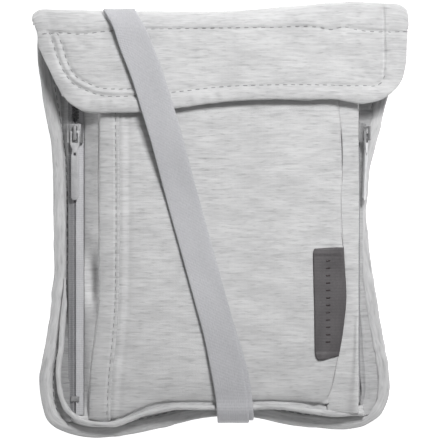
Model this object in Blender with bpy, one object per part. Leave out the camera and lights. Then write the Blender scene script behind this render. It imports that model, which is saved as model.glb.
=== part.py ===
"""A neck pouch wallet lying on its back, with its neck strap wrapped round it.

X runs across the pouch, Y runs up to the fold of the flap and Z runs out of the
front. The origin is on the surface it lies on, under the middle of the pouch.
Lengths are millimetres until a mesh is made, which turns them into metres.
"""
import math

import bmesh
import bpy
import numpy as np

MM = 0.001

# cloth and gaps
GAP = 0.3
SLACK = 0.1
SHELL = 1.2
BACK_SHELL = 1.0
LINING = 0.6
TRIM = 0.8
PATCH = 0.7

# the outline of the body: left edge (y, x), bottom edge (x, y), right edge (y, x)
BODY_LEFT = [(82, -75), (66, -75.4), (48, -72.4), (28, -69.4), (0, -68.4),
             (-28, -68.9), (-52, -72.2), (-68, -74.3), (-81.5, -71.4), (-86.4, -66.2)]
BODY_BOTTOM = [(-66.2, -86.4), (-59, -89), (-51, -89.6), (-36, -88.2), (-18, -84.2),
               (-5, -81), (5, -80.4), (15, -81.2), (28, -84.6), (46, -86),
               (57, -85.3), (63, -83.2)]
BODY_RIGHT = [(82, 73), (66, 71), (52, 69.6), (38, 66), (24, 62.6), (10, 60.6),
              (-2, 60.7), (-25, 63.6), (-50, 67.6), (-68, 69.9), (-76.5, 68.6),
              (-83.2, 63)]
TOP_EDGE = [(-78, 86.7), (-45, 86.1), (0, 85.7), (23, 87.3), (43, 89.1), (55, 89.6), (78, 88.4)]

# the front panel and the trim band along its left side
PANEL_LEFT = [(70, -50.4), (43, -50), (0, -50), (-41, -50.6), (-60, -53.4), (-82, -54.6)]
PANEL_RIGHT = [(70, 48), (47, 48.8), (31, 50.6), (9, 49.9), (-20, 51.3), (-34, 51.8),
               (-56, 48.7), (-71, 45.5), (-76, 43.6)]
PANEL_BOTTOM = [(-54.6, -81.6), (-47, -82.6), (-40, -81.6), (-31, -76.8), (-24, -75.2),
                (-3, -75), (20, -74.3), (31, -75), (43.6, -75.4)]
PANEL_TOP_Y = 70.0
PANEL_HEM_Y = 67.6
HEM_Y = 69.2
HEM_X = (-49.5, 47.5)
HEM_DROP = 0.4
HEM_HALF_WIDTH = 1.3
HEM_HALF_HEIGHT = 1.1
BAND_RIGHT = [(70, -41.4), (43, -41.4), (-24, -41.4), (-45, -42.2), (-60, -43.9), (-81, -45.1)]
BAND_Y = (-80.4, 67)
LABEL_LEFT_X = 38.0
LABEL_Y = (-57.4, -11.2)
LOOP_X = (-16, 16)
LOOP_Y = (54, 66)

# the front's dome, the back's arch and the lift over the strap's turn
FRONT_FOOT = 3.5
FRONT_RISE = 17.0
FRONT_HALF_WIDTH = 84.0
FRONT_HALF_LENGTH = 104.0
FRONT_MIDDLE_Y = 6.0
BACK_FOOT = 0.5
BACK_HALF_WIDTH = 64.0
BACK_HALF_LENGTH = 84.0
ARCH = 4.4
STRAP_LIFT = 3.2
LIFT_REACH = 22.0
LIFT_FADE = 12.0
LIFT_Y = -62.0
LIFT_RUN = 10.0

# the back, its fold and what hangs inside
BACK_INSET = 0.8
BACK_TOP_Y = 79.5
FOLD_HALF_WIDTH = 77.0
FOLD_Y = 80.3
FOLD_FOOT = 0.4
FOLD_RISE = 7.5
INSIDE_X = (-47, 46)
REAR_LINING_Y = (-70, 74)
FRONT_LINING_Y = (-68, 66)
DIVIDER_Y = (-66, 56)
DIVIDER_TOP = 12.0

# the flap: its left edge (y, x), bottom edge (x, y) and right edge (y, x)
FLAP_LEFT = [(86, -77.6), (82, -78.2), (76, -76.6), (69, -74.2), (60, -69.9), (51, -65.0)]
FLAP_BOTTOM = [(-65, 51), (-60.5, 46.2), (-54, 43.6), (-44, 42.9), (-30, 43.2), (-16, 44.8),
               (0, 47.2), (18, 48.2), (44, 48.4), (66, 48.2), (71, 52)]
FLAP_RIGHT = [(87, 77.4), (83, 78.2), (73, 77.7), (64, 77.0), (56, 74.6), (52, 71)]
FLAP_SEAM_Y = 78.0
FLAP_RISE = 4.5
FLAP_EDGE = 7.2
FLAP_EDGE_GAP = 1.3
FLAP_EDGE_HALF_HEIGHT = 1.3
FLAP_FOOT = 10.0
FLAP_FOLD_HALF_WIDTH = 77.6
FLAP_LINING_INSET = 1.2
HOOK_X = (-15, 15)
HOOK_Y = (58, 68)
HOOK_DROP = 0.2

# the edge binding, the welt and the strap
BINDING_HALF_WIDTH = 3.0
BINDING_HALF_HEIGHT = 2.0
BINDING_TOP_Y = 79.0
WELT_RADIUS = 1.1
GUSSET_LOW = (4.4, 5.4)
GUSSET_TOP = (-1.9, -0.4)
GUSSET_SAG = 0.3
GUSSET_SPREAD = 0.05
STRAP_WIDTH = 13.0
STRAP_BAND = 2.4
STRAP_CLEAR = 0.55
STRAP_SPREAD = 1.05
STRAP_X = 5.4
STRAP_OVER_FLAP = 5.3
STRAP_STEP = (18, 24)
SQUARE_TOP = (68, 12)
SQUARE_FOOT = (-66, 8)
STRAP_FALL = 5.6
STRAP_FALL_Y = 80.0
STRAP_FALL_RUN = 7.9
HANK_X = 28.0
HANK_HALF_WIDTH = 16.5
HANK_HALF_LENGTH = 66.0
HANK_CORNER = 5.0
HANK_TOP = 3.2
TAB_X = 36.0
TAB_HALF_WIDTH = 7.5
TAB_Y = (66.6, 76.0)
TAB_TOP = 2.0
TAB_THICKNESS = 1.4
LEG_THICKNESS = 1.0
LEG_LEVEL = {"left": 0.9, "right": 2.1}

# the joints
FLAP_AXIS = (89.6, 9.0)
STRAP_AXIS = (-83.5, 8.2)
PULL_PIVOT = (36.0, 4.5)
PULL_TILT = math.radians(2.5)
PULL_HALF_HEIGHT = 0.4
BAIL_HALF_WIDTH = 0.7
EYE_DEPTH = 2.0
EYES = {"bail": (31.7, 35.5, 1.15), "cord": (26.4, 27.6, 0.6)}
ZIP_BOTTOM_Y = -75.0
ZIP_TOP_Y = 66.0
WALL_LEAN = math.radians(20)


def smoothstep(t):
    t = min(1.0, max(0.0, t))
    return t * t * (3 - 2 * t)


def curve(points):
    """A smooth function through (position, value) pairs, level beyond its ends."""
    where, value = (np.array(c, float) for c in zip(*sorted(points)))
    slope = np.gradient(value, where)

    def at(t):
        t = min(max(t, where[0]), where[-1])
        k = min(int(np.searchsorted(where, t, side="right")) - 1, len(where) - 2)
        span = where[k + 1] - where[k]
        s = (t - where[k]) / span
        return ((2 * s**3 - 3 * s**2 + 1) * value[k] + (s**3 - 2 * s**2 + s) * span * slope[k]
                + (3 * s**2 - 2 * s**3) * value[k + 1] + (s**3 - s**2) * span * slope[k + 1])

    return at


def inward(edge, amount):
    """An edge moved square to itself by amount, given as the same kind of function."""
    def at(t):
        slope = (edge(t + 0.5) - edge(t - 0.5))
        return edge(t) + amount * math.sqrt(1 + slope * slope)

    return at


def through(points, count):
    """Evenly spaced points along a smooth curve through the given points."""
    points = np.array(points, float)
    steps = np.linalg.norm(np.diff(points, axis=0), axis=1)
    along = np.concatenate([[0], np.cumsum(steps)])
    axes = [curve(zip(along, points[:, k])) for k in range(points.shape[1])]
    return np.array([[axis(t) for axis in axes] for t in np.linspace(0, along[-1], count)])


body_left, body_bottom, body_right = curve(BODY_LEFT), curve(BODY_BOTTOM), curve(BODY_RIGHT)
top_edge = curve(TOP_EDGE)
panel_left, panel_right, panel_bottom = curve(PANEL_LEFT), curve(PANEL_RIGHT), curve(PANEL_BOTTOM)
band_right = curve(BAND_RIGHT)
flap_left, flap_bottom, flap_right = curve(FLAP_LEFT), curve(FLAP_BOTTOM), curve(FLAP_RIGHT)


def front_height(x, y):
    """The front panel's outer face, domed over what the pouch holds."""
    across = 1 - abs(x / FRONT_HALF_WIDTH) ** 3
    along = 1 - abs((y - FRONT_MIDDLE_Y) / FRONT_HALF_LENGTH) ** 4
    return FRONT_FOOT + FRONT_RISE * across * along


def back_height(x, y):
    """The back panel's outer face, arched over the folded strap."""
    across = max(0, 1 - abs(x / BACK_HALF_WIDTH) ** 6)
    along = max(0, 1 - abs(y / BACK_HALF_LENGTH) ** 8)
    return BACK_FOOT + ARCH * across * along


def strap_lift(x):
    """How far the bottom edge is raised where the strap passes under it."""
    return STRAP_LIFT * smoothstep((LIFT_REACH - abs(x - STRAP_X)) / LIFT_FADE)


# ---------------------------------------------------------------- mesh tools

def clear():
    for thing in list(bpy.data.objects):
        bpy.data.objects.remove(thing, do_unlink=True)


def material(name, colour, roughness=0.9, metallic=0.0):
    made = bpy.data.materials.get(name) or bpy.data.materials.new(name)
    made.use_nodes = True
    shader = made.node_tree.nodes["Principled BSDF"]
    shader.inputs["Base Color"].default_value = (*colour, 1)
    shader.inputs["Roughness"].default_value = roughness
    shader.inputs["Metallic"].default_value = metallic
    return made


def solid(name, points, faces, look, pivot=(0, 0, 0)):
    """One closed mesh object from points in millimetres, with its origin at pivot."""
    mesh = bpy.data.meshes.new(name)
    at = np.array(pivot, float)
    mesh.from_pydata([tuple((np.array(p) - at) * MM) for p in points], [], faces)
    work = bmesh.new()
    work.from_mesh(mesh)
    bmesh.ops.triangulate(work, faces=work.faces)
    bmesh.ops.recalc_face_normals(work, faces=work.faces)
    work.to_mesh(mesh)
    work.free()
    thing = bpy.data.objects.new(name, mesh)
    bpy.context.scene.collection.objects.link(thing)
    thing.location = at * MM
    thing.data.materials.append(look)
    return thing


def shell(name, grid, thickness, look, pivot=(0, 0, 0)):
    """A grid of points made into cloth of one thickness, laid on the side away from its normal."""
    grid = np.array(grid, float)
    rows, columns = grid.shape[:2]
    across = np.cross(np.gradient(grid, axis=1), np.gradient(grid, axis=0))
    across /= np.linalg.norm(across, axis=2, keepdims=True)
    points = np.concatenate([grid.reshape(-1, 3), (grid - across * thickness).reshape(-1, 3)])
    under = rows * columns

    def at(i, j):
        return i * columns + j

    faces = []
    for i in range(rows - 1):
        for j in range(columns - 1):
            quad = [at(i, j), at(i, j + 1), at(i + 1, j + 1), at(i + 1, j)]
            faces.append(quad)
            faces.append([under + k for k in reversed(quad)])
    rim = [at(0, j) for j in range(columns)] + [at(i, columns - 1) for i in range(1, rows)]
    rim += [at(rows - 1, j) for j in range(columns - 2, -1, -1)]
    rim += [at(i, 0) for i in range(rows - 2, 0, -1)]
    for a, b in zip(rim, rim[1:] + rim[:1]):
        faces.append([b, a, under + a, under + b])
    return solid(name, points, faces, look, pivot)


def patch(left, right, bottom, top, height, columns, rows):
    """A grid of points on height(x, y) inside four edges."""
    middle = (left(0), right(0))
    grid = []
    for v in np.linspace(0, 1, rows + 1):
        row = []
        for u in np.linspace(0, 1, columns + 1):
            x = middle[0] + (middle[1] - middle[0]) * u
            for _ in range(4):
                y = bottom(x) + (top(x) - bottom(x)) * v
                x = left(y) + (right(y) - left(y)) * u
            row.append((x, y, height(x, y)))
        grid.append(row)
    return grid


def tube(name, path, half_width, half_height, look, sides=8, pivot=(0, 0, 0)):
    """An oval tube along a path, its height upright."""
    path = np.array(path, float)
    run = np.gradient(path, axis=0)
    run /= np.linalg.norm(run, axis=1, keepdims=True)
    side = np.cross(run, (0, 0, 1))
    side /= np.linalg.norm(side, axis=1, keepdims=True)
    rise = np.cross(side, run)
    reach = 1 / math.cos(math.pi / sides)
    points = []
    for p, s, r in zip(path, side * half_width * reach, rise * half_height * reach):
        for k in range(sides):
            turn = 2 * math.pi * (k + 0.5) / sides
            points.append(p + s * math.cos(turn) + r * math.sin(turn))
    faces = [list(range(sides)), list(range((len(path) - 1) * sides, len(path) * sides))]
    for i in range(len(path) - 1):
        for k in range(sides):
            a, b = i * sides + k, i * sides + (k + 1) % sides
            faces.append([a, b, b + sides, a + sides])
    return solid(name, points, faces, look, pivot)


def ribbon(name, path, sides, width, thickness, look, pivot=(0, 0, 0)):
    """A flat strap along a path in mid thickness; sides point across it at each station."""
    path, sides = np.array(path, float), np.array(sides, float)
    up = np.cross(sides, np.gradient(path, axis=0))
    up /= np.linalg.norm(up, axis=1, keepdims=True)
    grid = [(p + u * thickness / 2 - s * width / 2, p + u * thickness / 2 + s * width / 2)
            for p, s, u in zip(path, sides, up)]
    return shell(name, grid, thickness, look, pivot)


def prism(name, outline, place, start, end, look, pivot=(0, 0, 0)):
    """An outline pushed from start to end: place(a, b, c) gives a point's position."""
    count = len(outline)
    points = [place(a, b, c) for c in (start, end) for a, b in outline]
    faces = [list(range(count)), list(range(count, 2 * count))]
    faces += [[k, (k + 1) % count, count + (k + 1) % count, count + k] for k in range(count)]
    return solid(name, points, faces, look, pivot)


def combine(thing, other, operation):
    """A Boolean with a guide that stays in the file and isn't part of the object."""
    other.hide_render = True
    other.display_type = "WIRE"
    step = thing.modifiers.new(other.name, "BOOLEAN")
    step.operation = operation
    step.object = other


# ---------------------------------------------------------------- materials

JERSEY = (0.62, 0.62, 0.63)
JERSEY_SHADE = (0.48, 0.48, 0.50)
LINING_GREY = (0.30, 0.31, 0.33)
WEBBING = (0.48, 0.48, 0.50)
LABEL = (0.12, 0.115, 0.12)
METAL = (0.50, 0.50, 0.51)
COIL = (0.36, 0.36, 0.37)


def looks():
    return {
        "jersey": material("jersey", JERSEY),
        "trim": material("trim", JERSEY_SHADE),
        "lining": material("lining", LINING_GREY, 0.6),
        "webbing": material("webbing", WEBBING, 0.8),
        "label": material("label", LABEL, 0.7),
        "metal": material("metal", METAL, 0.4, 0.9),
        "coil": material("coil", COIL, 0.6),
    }


# ---------------------------------------------------------------- the body

def back_shells(look):
    """The back panel, its rear fold, the RFID linings and the divider."""
    inset = 2 * BINDING_HALF_WIDTH + BACK_INSET
    edges = (inward(body_left, inset), inward(body_right, -inset))
    low, high = inward(body_bottom, inset), (lambda x: BACK_TOP_Y)

    def outer(x, y):
        return max(back_height(x, y), BACK_FOOT + strap_lift(x) * smoothstep((LIFT_Y - y) / LIFT_RUN))

    def inner(x, y):
        return outer(x, y) + BACK_SHELL

    shell("back_panel", patch(*edges, low, high, inner, 16, 18), BACK_SHELL, look["jersey"])

    within = (lambda y: INSIDE_X[0], lambda y: INSIDE_X[1])
    shell("rear_rfid_lining",
          patch(*within, lambda x: REAR_LINING_Y[0], lambda x: REAR_LINING_Y[1],
                lambda x, y: inner(x, y) + GAP + LINING + SLACK, 12, 12),
          LINING, look["lining"])
    shell("divider",
          patch(*within, lambda x: DIVIDER_Y[0], lambda x: DIVIDER_Y[1],
                lambda x, y: DIVIDER_TOP, 2, 2),
          LINING, look["lining"])
    shell("front_rfid_lining",
          patch(*within, lambda x: FRONT_LINING_Y[0], lambda x: FRONT_LINING_Y[1],
                lambda x, y: front_height(x, y) - SHELL - GAP - SLACK, 12, 12),
          LINING, look["lining"])

    rows = []
    for turn in np.radians(np.linspace(0, 90, 6)):
        row = []
        for x in np.linspace(-FOLD_HALF_WIDTH, FOLD_HALF_WIDTH, 17):
            reach = top_edge(x) - FOLD_Y
            row.append((x, FOLD_Y + reach * math.sin(turn),
                        FOLD_FOOT + FOLD_RISE * (1 - math.cos(turn))))
        rows.append(row)
    grid = np.array(rows)[:, ::-1]
    shell("rear_fold", grid, SHELL, look["jersey"])


def front_shells(look):
    """The front panel with its hem, trim band, label and closure patch."""
    panel = patch(panel_left, panel_right, panel_bottom, lambda x: PANEL_HEM_Y, front_height,
                  16, 18)
    shell("front_panel", panel, SHELL, look["jersey"])
    hem = [(x, HEM_Y, front_height(x, PANEL_TOP_Y) - HEM_DROP) for x in np.linspace(*HEM_X, 15)]
    tube("pocket_hem", hem, HEM_HALF_WIDTH, HEM_HALF_HEIGHT, look["trim"])

    def on_front(x, y):
        return front_height(x, y) + GAP + TRIM

    shell("left_trim_band",
          patch(lambda y: panel_left(y) + GAP + SLACK, band_right, lambda x: BAND_Y[0],
                lambda x: BAND_Y[1], on_front, 2, 16),
          TRIM, look["trim"])
    shell("side_label",
          patch(lambda y: LABEL_LEFT_X, lambda y: panel_right(y) - SLACK, lambda x: LABEL_Y[0],
                lambda x: LABEL_Y[1], on_front, 3, 8),
          TRIM, look["label"])
    shell("loop_patch",
          patch(lambda y: LOOP_X[0], lambda y: LOOP_X[1], lambda x: LOOP_Y[0],
                lambda x: LOOP_Y[1], on_front, 6, 3),
          TRIM, look["lining"])


def binding_path(inset):
    """The body's edge from the upper left corner round the bottom to the upper right."""
    left = [(x, y) for y, x in BODY_LEFT[:-1]]
    right = [(x, y) for y, x in reversed(BODY_RIGHT[:-1])]
    plan = through(left + BODY_BOTTOM + right, 96)
    run = np.gradient(plan, axis=0)
    run /= np.linalg.norm(run, axis=1, keepdims=True)
    plan = plan + np.stack([-run[:, 1], run[:, 0]], axis=1) * inset
    keep = plan[plan[:, 1] < BINDING_TOP_Y]
    return [(x, y, BINDING_HALF_HEIGHT + (strap_lift(x) if y < 0 else 0)) for x, y in keep]


WELT = [(-65, -51, 7.8), (-66.4, -64, 7.8), (-65, -73.4, 7.8), (-60, -80.8, 8.0), (-52, -83.6, 8.8),
        (-44, -83.8, 9.2), (-36, -81.4, 10.2), (-30, -78.6, 11.6), (-22, -77.1, 12.3),
        (-3, -76.9, 12.6), (12, -76.8, 12.6), (25, -76.4, 12.4), (33, -77.4, 11.6),
        (47.6, -79.6, 9.4), (60, -79.2, 6.6)]


def edges(look):
    """The binding round the body's edge, the welt inside it and the gusset between them."""
    tube("edge_binding", binding_path(BINDING_HALF_WIDTH), BINDING_HALF_WIDTH,
         BINDING_HALF_HEIGHT, look["trim"])
    welt = through(WELT, 56)
    tube("bottom_welt", welt, WELT_RADIUS, WELT_RADIUS, look["trim"], sides=6)

    rails = []
    for x, y, z in through(WELT[3:], 26):
        foot = x + (x - STRAP_X) * GUSSET_SPREAD
        low = (foot, body_bottom(foot) + GUSSET_LOW[0], GUSSET_LOW[1] + strap_lift(foot))
        top = (x, y + GUSSET_TOP[0], z + GUSSET_TOP[1])
        middle = ((x + foot) / 2, min(top[1], low[1]) - GUSSET_SAG, (top[2] + low[2]) / 2)
        rails.append((top, middle, low))
    shell("bottom_gusset", np.array(rails)[:, ::-1], TRIM, look["jersey"])


# ---------------------------------------------------------------- the zips

TAPE_INNER = (0.25, 3.6)
TAPE_OUTER = (-2.0, -0.25)
TAPE_LEVEL = (-0.8, -0.3)
CHAIN_Y = (-72.0, 64.0)
STOP_Y = (-74.6, -72.4)
STOP_SECTION = [(-1.7, 0), (1.7, 0), (1.7, 1.7), (-1.7, 1.7)]
ZIPS = {
    "left": {"origin": (-59.5, 7.2), "across": (1, 0), "up": (0, 1)},
    "right": {"origin": (55.9, 8.8),
              "across": (-math.sin(WALL_LEAN), math.cos(WALL_LEAN)),
              "up": (math.cos(WALL_LEAN), math.sin(WALL_LEAN))},
}
SLIDER_Y = (31.6, 39.6)
SLIDER_SECTION = [(-3.3, 0.2), (-1.9, 0.2), (-1.9, 2.1), (1.9, 2.1), (1.9, 0.2), (3.3, 0.2),
                  (3.3, 2.6), (2.4, 3.7), (-2.4, 3.7), (-3.3, 2.6)]
CHAIN_SECTION = [(-1.5, 0), (1.5, 0), (1.3, 0.9), (0.6, 1.5), (-0.6, 1.5), (-1.3, 0.9)]
BAIL = [(32.6, 3.4), (33.6, 3.4), (33.6, 5.3), (37.6, 5.3), (37.6, 3.4), (38.6, 3.4),
        (38.6, 6.3), (32.6, 6.3)]
PULL = [(-1.9, 36.5), (-1.9, 30.8), (-1.0, 28.8), (-1.5, 26.5), (-1.5, 9.2), (-0.9, 8.2),
        (0.9, 8.2), (1.5, 9.2), (1.5, 26.5), (1.0, 28.8), (1.9, 30.8), (1.9, 36.5)]


def zip_place(side):
    spec = ZIPS[side]
    (x, z), (ax, az), (ux, uz) = spec["origin"], spec["across"], spec["up"]

    def place(across, along, up):
        return (x + ax * across + ux * up, along, z + az * across + uz * up)

    return place


def zip_fastener(side, look):
    """One zip: two tapes, the closed chain, its stops, the slider and its pull."""
    place = zip_place(side)
    sense = 1 if side == "left" else -1
    under, over = TAPE_LEVEL
    for part, (low, high) in (("inner", TAPE_INNER), ("outer", TAPE_OUTER)):
        section = [(low * sense, under), (high * sense, under), (high * sense, over), (low * sense, over)]
        prism(f"{side}_zip_tape_{part}", section, lambda a, h, y: place(a, y, h), ZIP_BOTTOM_Y,
              ZIP_TOP_Y, look["trim"])
    prism(f"{side}_zip_chain", CHAIN_SECTION, lambda a, h, y: place(a, y, h), *CHAIN_Y,
          look["coil"])
    prism(f"{side}_zip_stop", STOP_SECTION, lambda a, h, y: place(a, y, h), *STOP_Y, look["metal"])

    seat = place(0, (SLIDER_Y[0] + SLIDER_Y[1]) / 2, 0)
    slider = prism(f"{side}_slider", SLIDER_SECTION, lambda a, h, y: place(a, y, h), *SLIDER_Y,
                   look["metal"], seat)
    bail = prism(f"{side}_bail_guide", BAIL, lambda y, h, a: place(a, y, h),
                 -BAIL_HALF_WIDTH, BAIL_HALF_WIDTH, look["metal"], seat)
    combine(slider, bail, "UNION")

    pivot = place(0, *PULL_PIVOT)

    def lean(a, y, h):
        """The pull hangs a little towards the chain from its bar."""
        back, rise = y - PULL_PIVOT[0], h - PULL_PIVOT[1]
        cos, sin = math.cos(PULL_TILT), math.sin(PULL_TILT)
        return place(a, PULL_PIVOT[0] + back * cos - rise * sin,
                     PULL_PIVOT[1] + back * sin + rise * cos)

    pull = prism(f"{side}_pull", PULL, lean, PULL_PIVOT[1] - PULL_HALF_HEIGHT,
                 PULL_PIVOT[1] + PULL_HALF_HEIGHT, look["metal"], pivot)
    for label, (low, high, half) in EYES.items():
        eye = prism(f"{side}_{label}_eye_guide",
                    [(-half, low), (half, low), (half, high), (-half, high)], lean,
                    PULL_PIVOT[1] - EYE_DEPTH, PULL_PIVOT[1] + EYE_DEPTH, look["metal"], pivot)
        combine(pull, eye, "DIFFERENCE")


# the side strips' rails: (x, z), or (inwards from the body's edge, z) at the foot
SIDE_Y = (-76, 66)
SIDE_X = 50.0
SIDE_GAP = 0.5
SIDE_DROP = 1.7
LEFT_FRONT_RAIL = (-55.6, 9.4)
LEFT_REAR_RAIL = (-62.3, 6.7)
LEFT_REAR_FOOT = (4.4, 5.3)
RIGHT_FRONT_RAIL = (57.0, 14.3)
RIGHT_REAR_RAIL = (57.2, 5.3)
RIGHT_REAR_FOOT = (4.0, 5.0)
RIGHT_REAR_LEAST_X = 58.8


def side_gussets(look):
    """Strips of cloth from the front panel to each zip, and from each zip to the binding."""
    ys = np.linspace(*SIDE_Y, 20)

    def strip(name, upper, lower, flip):
        grid = [(lower(y), upper(y)) for y in ys]
        if flip:
            grid = [(b, a) for a, b in grid]
        shell(name, grid, TRIM, look["jersey"])

    strip("left_gusset_front",
          lambda y: (panel_left(y) - SIDE_GAP, y, front_height(-SIDE_X, y) - SIDE_DROP),
          lambda y: (LEFT_FRONT_RAIL[0], y, LEFT_FRONT_RAIL[1]), False)
    strip("left_gusset_rear", lambda y: (LEFT_REAR_RAIL[0], y, LEFT_REAR_RAIL[1]),
          lambda y: (body_left(y) + LEFT_REAR_FOOT[0], y, LEFT_REAR_FOOT[1]), False)
    strip("right_gusset_front",
          lambda y: (panel_right(y) + SIDE_GAP, y, front_height(SIDE_X, y) - SIDE_DROP),
          lambda y: (RIGHT_FRONT_RAIL[0], y, RIGHT_FRONT_RAIL[1]), True)
    strip("right_gusset_rear", lambda y: (RIGHT_REAR_RAIL[0], y, RIGHT_REAR_RAIL[1]),
          lambda y: (max(body_right(y) - RIGHT_REAR_FOOT[0], RIGHT_REAR_LEAST_X), y,
                     RIGHT_REAR_FOOT[1]), True)


# ---------------------------------------------------------------- the flap

def flap_height(x, y):
    return front_height(x, y) + FLAP_RISE


def flap(look):
    """The flap: folded top band, panel, lining, binding and closure patch."""
    pivot = (0, *FLAP_AXIS)
    rows = []
    for turn in np.radians(np.linspace(0, 90, 7)):
        row = []
        for x in np.linspace(-FLAP_FOLD_HALF_WIDTH, FLAP_FOLD_HALF_WIDTH, 17):
            reach = top_edge(x) - FLAP_SEAM_Y - GAP
            crown = flap_height(x, FLAP_SEAM_Y) - FLAP_FOOT
            row.append((x, FLAP_SEAM_Y + GAP + reach * math.sin(turn),
                        FLAP_FOOT + crown * math.cos(turn)))
        rows.append(row)
    shell("flap_fold", rows, SHELL, look["jersey"], pivot)

    inset = FLAP_EDGE + FLAP_EDGE_GAP
    edge = (inward(flap_left, inset), inward(flap_right, -inset))
    shell("flap_panel",
          patch(*edge, inward(flap_bottom, inset), lambda x: FLAP_SEAM_Y, flap_height, 18, 6),
          SHELL, look["jersey"], pivot)
    inset += FLAP_LINING_INSET
    edge = (inward(flap_left, inset), inward(flap_right, -inset))
    shell("flap_lining",
          patch(*edge, inward(flap_bottom, inset), lambda x: FLAP_SEAM_Y - 1,
                lambda x, y: flap_height(x, y) - SHELL - GAP - SLACK, 16, 5),
          LINING, look["lining"], pivot)
    shell("hook_patch",
          patch(lambda y: HOOK_X[0], lambda y: HOOK_X[1], lambda x: HOOK_Y[0],
                lambda x: HOOK_Y[1],
                lambda x, y: flap_height(x, y) - SHELL - LINING - 2 * GAP - HOOK_DROP, 6, 3),
          PATCH, look["lining"], pivot)

    corner = [(x, y) for y, x in FLAP_LEFT[1:-1]]
    corner += FLAP_BOTTOM + [(x, y) for y, x in reversed(FLAP_RIGHT[1:-1])]
    plan = through(corner, 64)
    run = np.gradient(plan, axis=0)
    run /= np.linalg.norm(run, axis=1, keepdims=True)
    half = FLAP_EDGE / 2
    plan = plan + np.stack([-run[:, 1], run[:, 0]], axis=1) * half
    path = [(x, y, flap_height(x, y) - SHELL / 2) for x, y in plan if y < FLAP_SEAM_Y - 2 * SLACK]
    tube("flap_binding", path, half, FLAP_EDGE_HALF_HEIGHT, look["jersey"], pivot=pivot)


# ---------------------------------------------------------------- the strap

FRONT_ROUTE = [(-41.6, 87.9), (-40.8, 85.0), (-37.8, 80.0), (-33.9, 70.0), (-30.0, 60.0),
               (-26.2, 48.0), (-22.6, 36.0), (-16.2, 12.0), (-8.3, -16.4), (-4.5, -30.3),
               (-0.4, -45.5), (2.1, -57.8), (4.0, -68.1), (4.9, -75.0)]
TURN_ROUTE = [(5.1, -77.4, 15.7), (5.3, -79.8, 14.4), (5.4, -81.7, 11.6), (5.4, -82.3, 8.5)]
LEG_ROUTE = {"left": [(-17.8, -66.4), (-15, -68), (-7, -71.5), (1, -74), (5.4, -75.8)],
             "right": [(17.8, -66.4), (17, -68), (13, -71.5), (9, -74), (5.4, -75.8)]}
UNDER_ROUTE = [(5.4, -82.3, 7.9), (5.4, -82.3, 5.2), (5.4, -81.5, 2.6), (5.4, -79.4, 1.6),
               (5.4, -76.4, 1.6)]


def band_height(x, y):
    """The strap's mid height over the front: on the flap, down its step and along the panel."""
    over_flap = STRAP_OVER_FLAP * smoothstep((y - STRAP_STEP[0]) / STRAP_STEP[1])
    over_fold = -STRAP_FALL * max(0.0, (y - STRAP_FALL_Y) / STRAP_FALL_RUN) ** 2
    return front_height(x, y) + over_flap + over_fold + STRAP_CLEAR + STRAP_BAND / 2


def strap(look):
    """The neck strap: sewn ends, folded hanks under the pouch and the doubled band round it."""
    webbing = look["webbing"]
    for side, sense in (("left", -1), ("right", 1)):
        x = sense * HANK_X
        tab = sense * TAB_X
        grid = [[(tab - TAB_HALF_WIDTH, y, TAB_TOP), (tab + TAB_HALF_WIDTH, y, TAB_TOP)]
                for y in TAB_Y]
        shell(f"{side}_strap_tab", grid, TAB_THICKNESS, webbing)

        half, length, corner = HANK_HALF_WIDTH, HANK_HALF_LENGTH, HANK_CORNER
        outline = []
        for k in range(4):
            for turn in np.radians(np.linspace(0, 90, 4)) + k * math.pi / 2:
                cx = (half - corner) * (1 if k in (0, 3) else -1)
                cy = (length - corner) * (1 if k in (0, 1) else -1)
                outline.append((x + cx + corner * math.cos(turn), cy + corner * math.sin(turn)))
        prism(f"strap_hank_{side}", outline, lambda a, b, c: (a, b, c), GAP, HANK_TOP, webbing)

        leg = [(x, y, LEG_LEVEL[side]) for x, y in LEG_ROUTE[side]]
        ribbon(f"strap_leg_{side}", through(leg, 8), [(1, 0, 0)] * 8, STRAP_WIDTH, LEG_THICKNESS,
               webbing)

    ribbon("strap_turn", through(UNDER_ROUTE[::-1], 10), [(1, 0, 0)] * 10, STRAP_WIDTH, STRAP_BAND,
           webbing)
    front = [(x, y, band_height(x, y)) for x, y in FRONT_ROUTE]
    path = through(front + TURN_ROUTE, 60)
    run = np.gradient(path, axis=0)
    sides = []
    for (x, y, z), (dx, dy, dz) in zip(path, run):
        length = math.hypot(dx, dy) + 1e-9
        level = max(smoothstep((y - SQUARE_TOP[0]) / SQUARE_TOP[1]),
                    smoothstep((SQUARE_FOOT[0] - y) / SQUARE_FOOT[1]))
        sides.append((-dy / length * (1 - level) + level * STRAP_SPREAD,
                      dx / length * (1 - level), 0))
    ribbon("strap_front_band", path, sides, STRAP_WIDTH, STRAP_BAND, webbing,
           (STRAP_X, *STRAP_AXIS))


def build():
    clear()
    look = looks()
    back_shells(look)
    front_shells(look)
    edges(look)
    side_gussets(look)
    for side in ZIPS:
        zip_fastener(side, look)
    flap(look)
    strap(look)


build()
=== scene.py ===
"""The looks of a neck pouch wallet: heather jersey, stitched seams, two zips and a folded strap.

X runs across the pouch, Y up to its top fold and Z out of its front, as in the frame. Lengths
are millimetres until a mesh is made. Edges and heights are read from the frame's nodes.
"""
import math

import bmesh
import bpy
import numpy as np
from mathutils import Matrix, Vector
from mathutils.bvhtree import BVHTree


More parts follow.
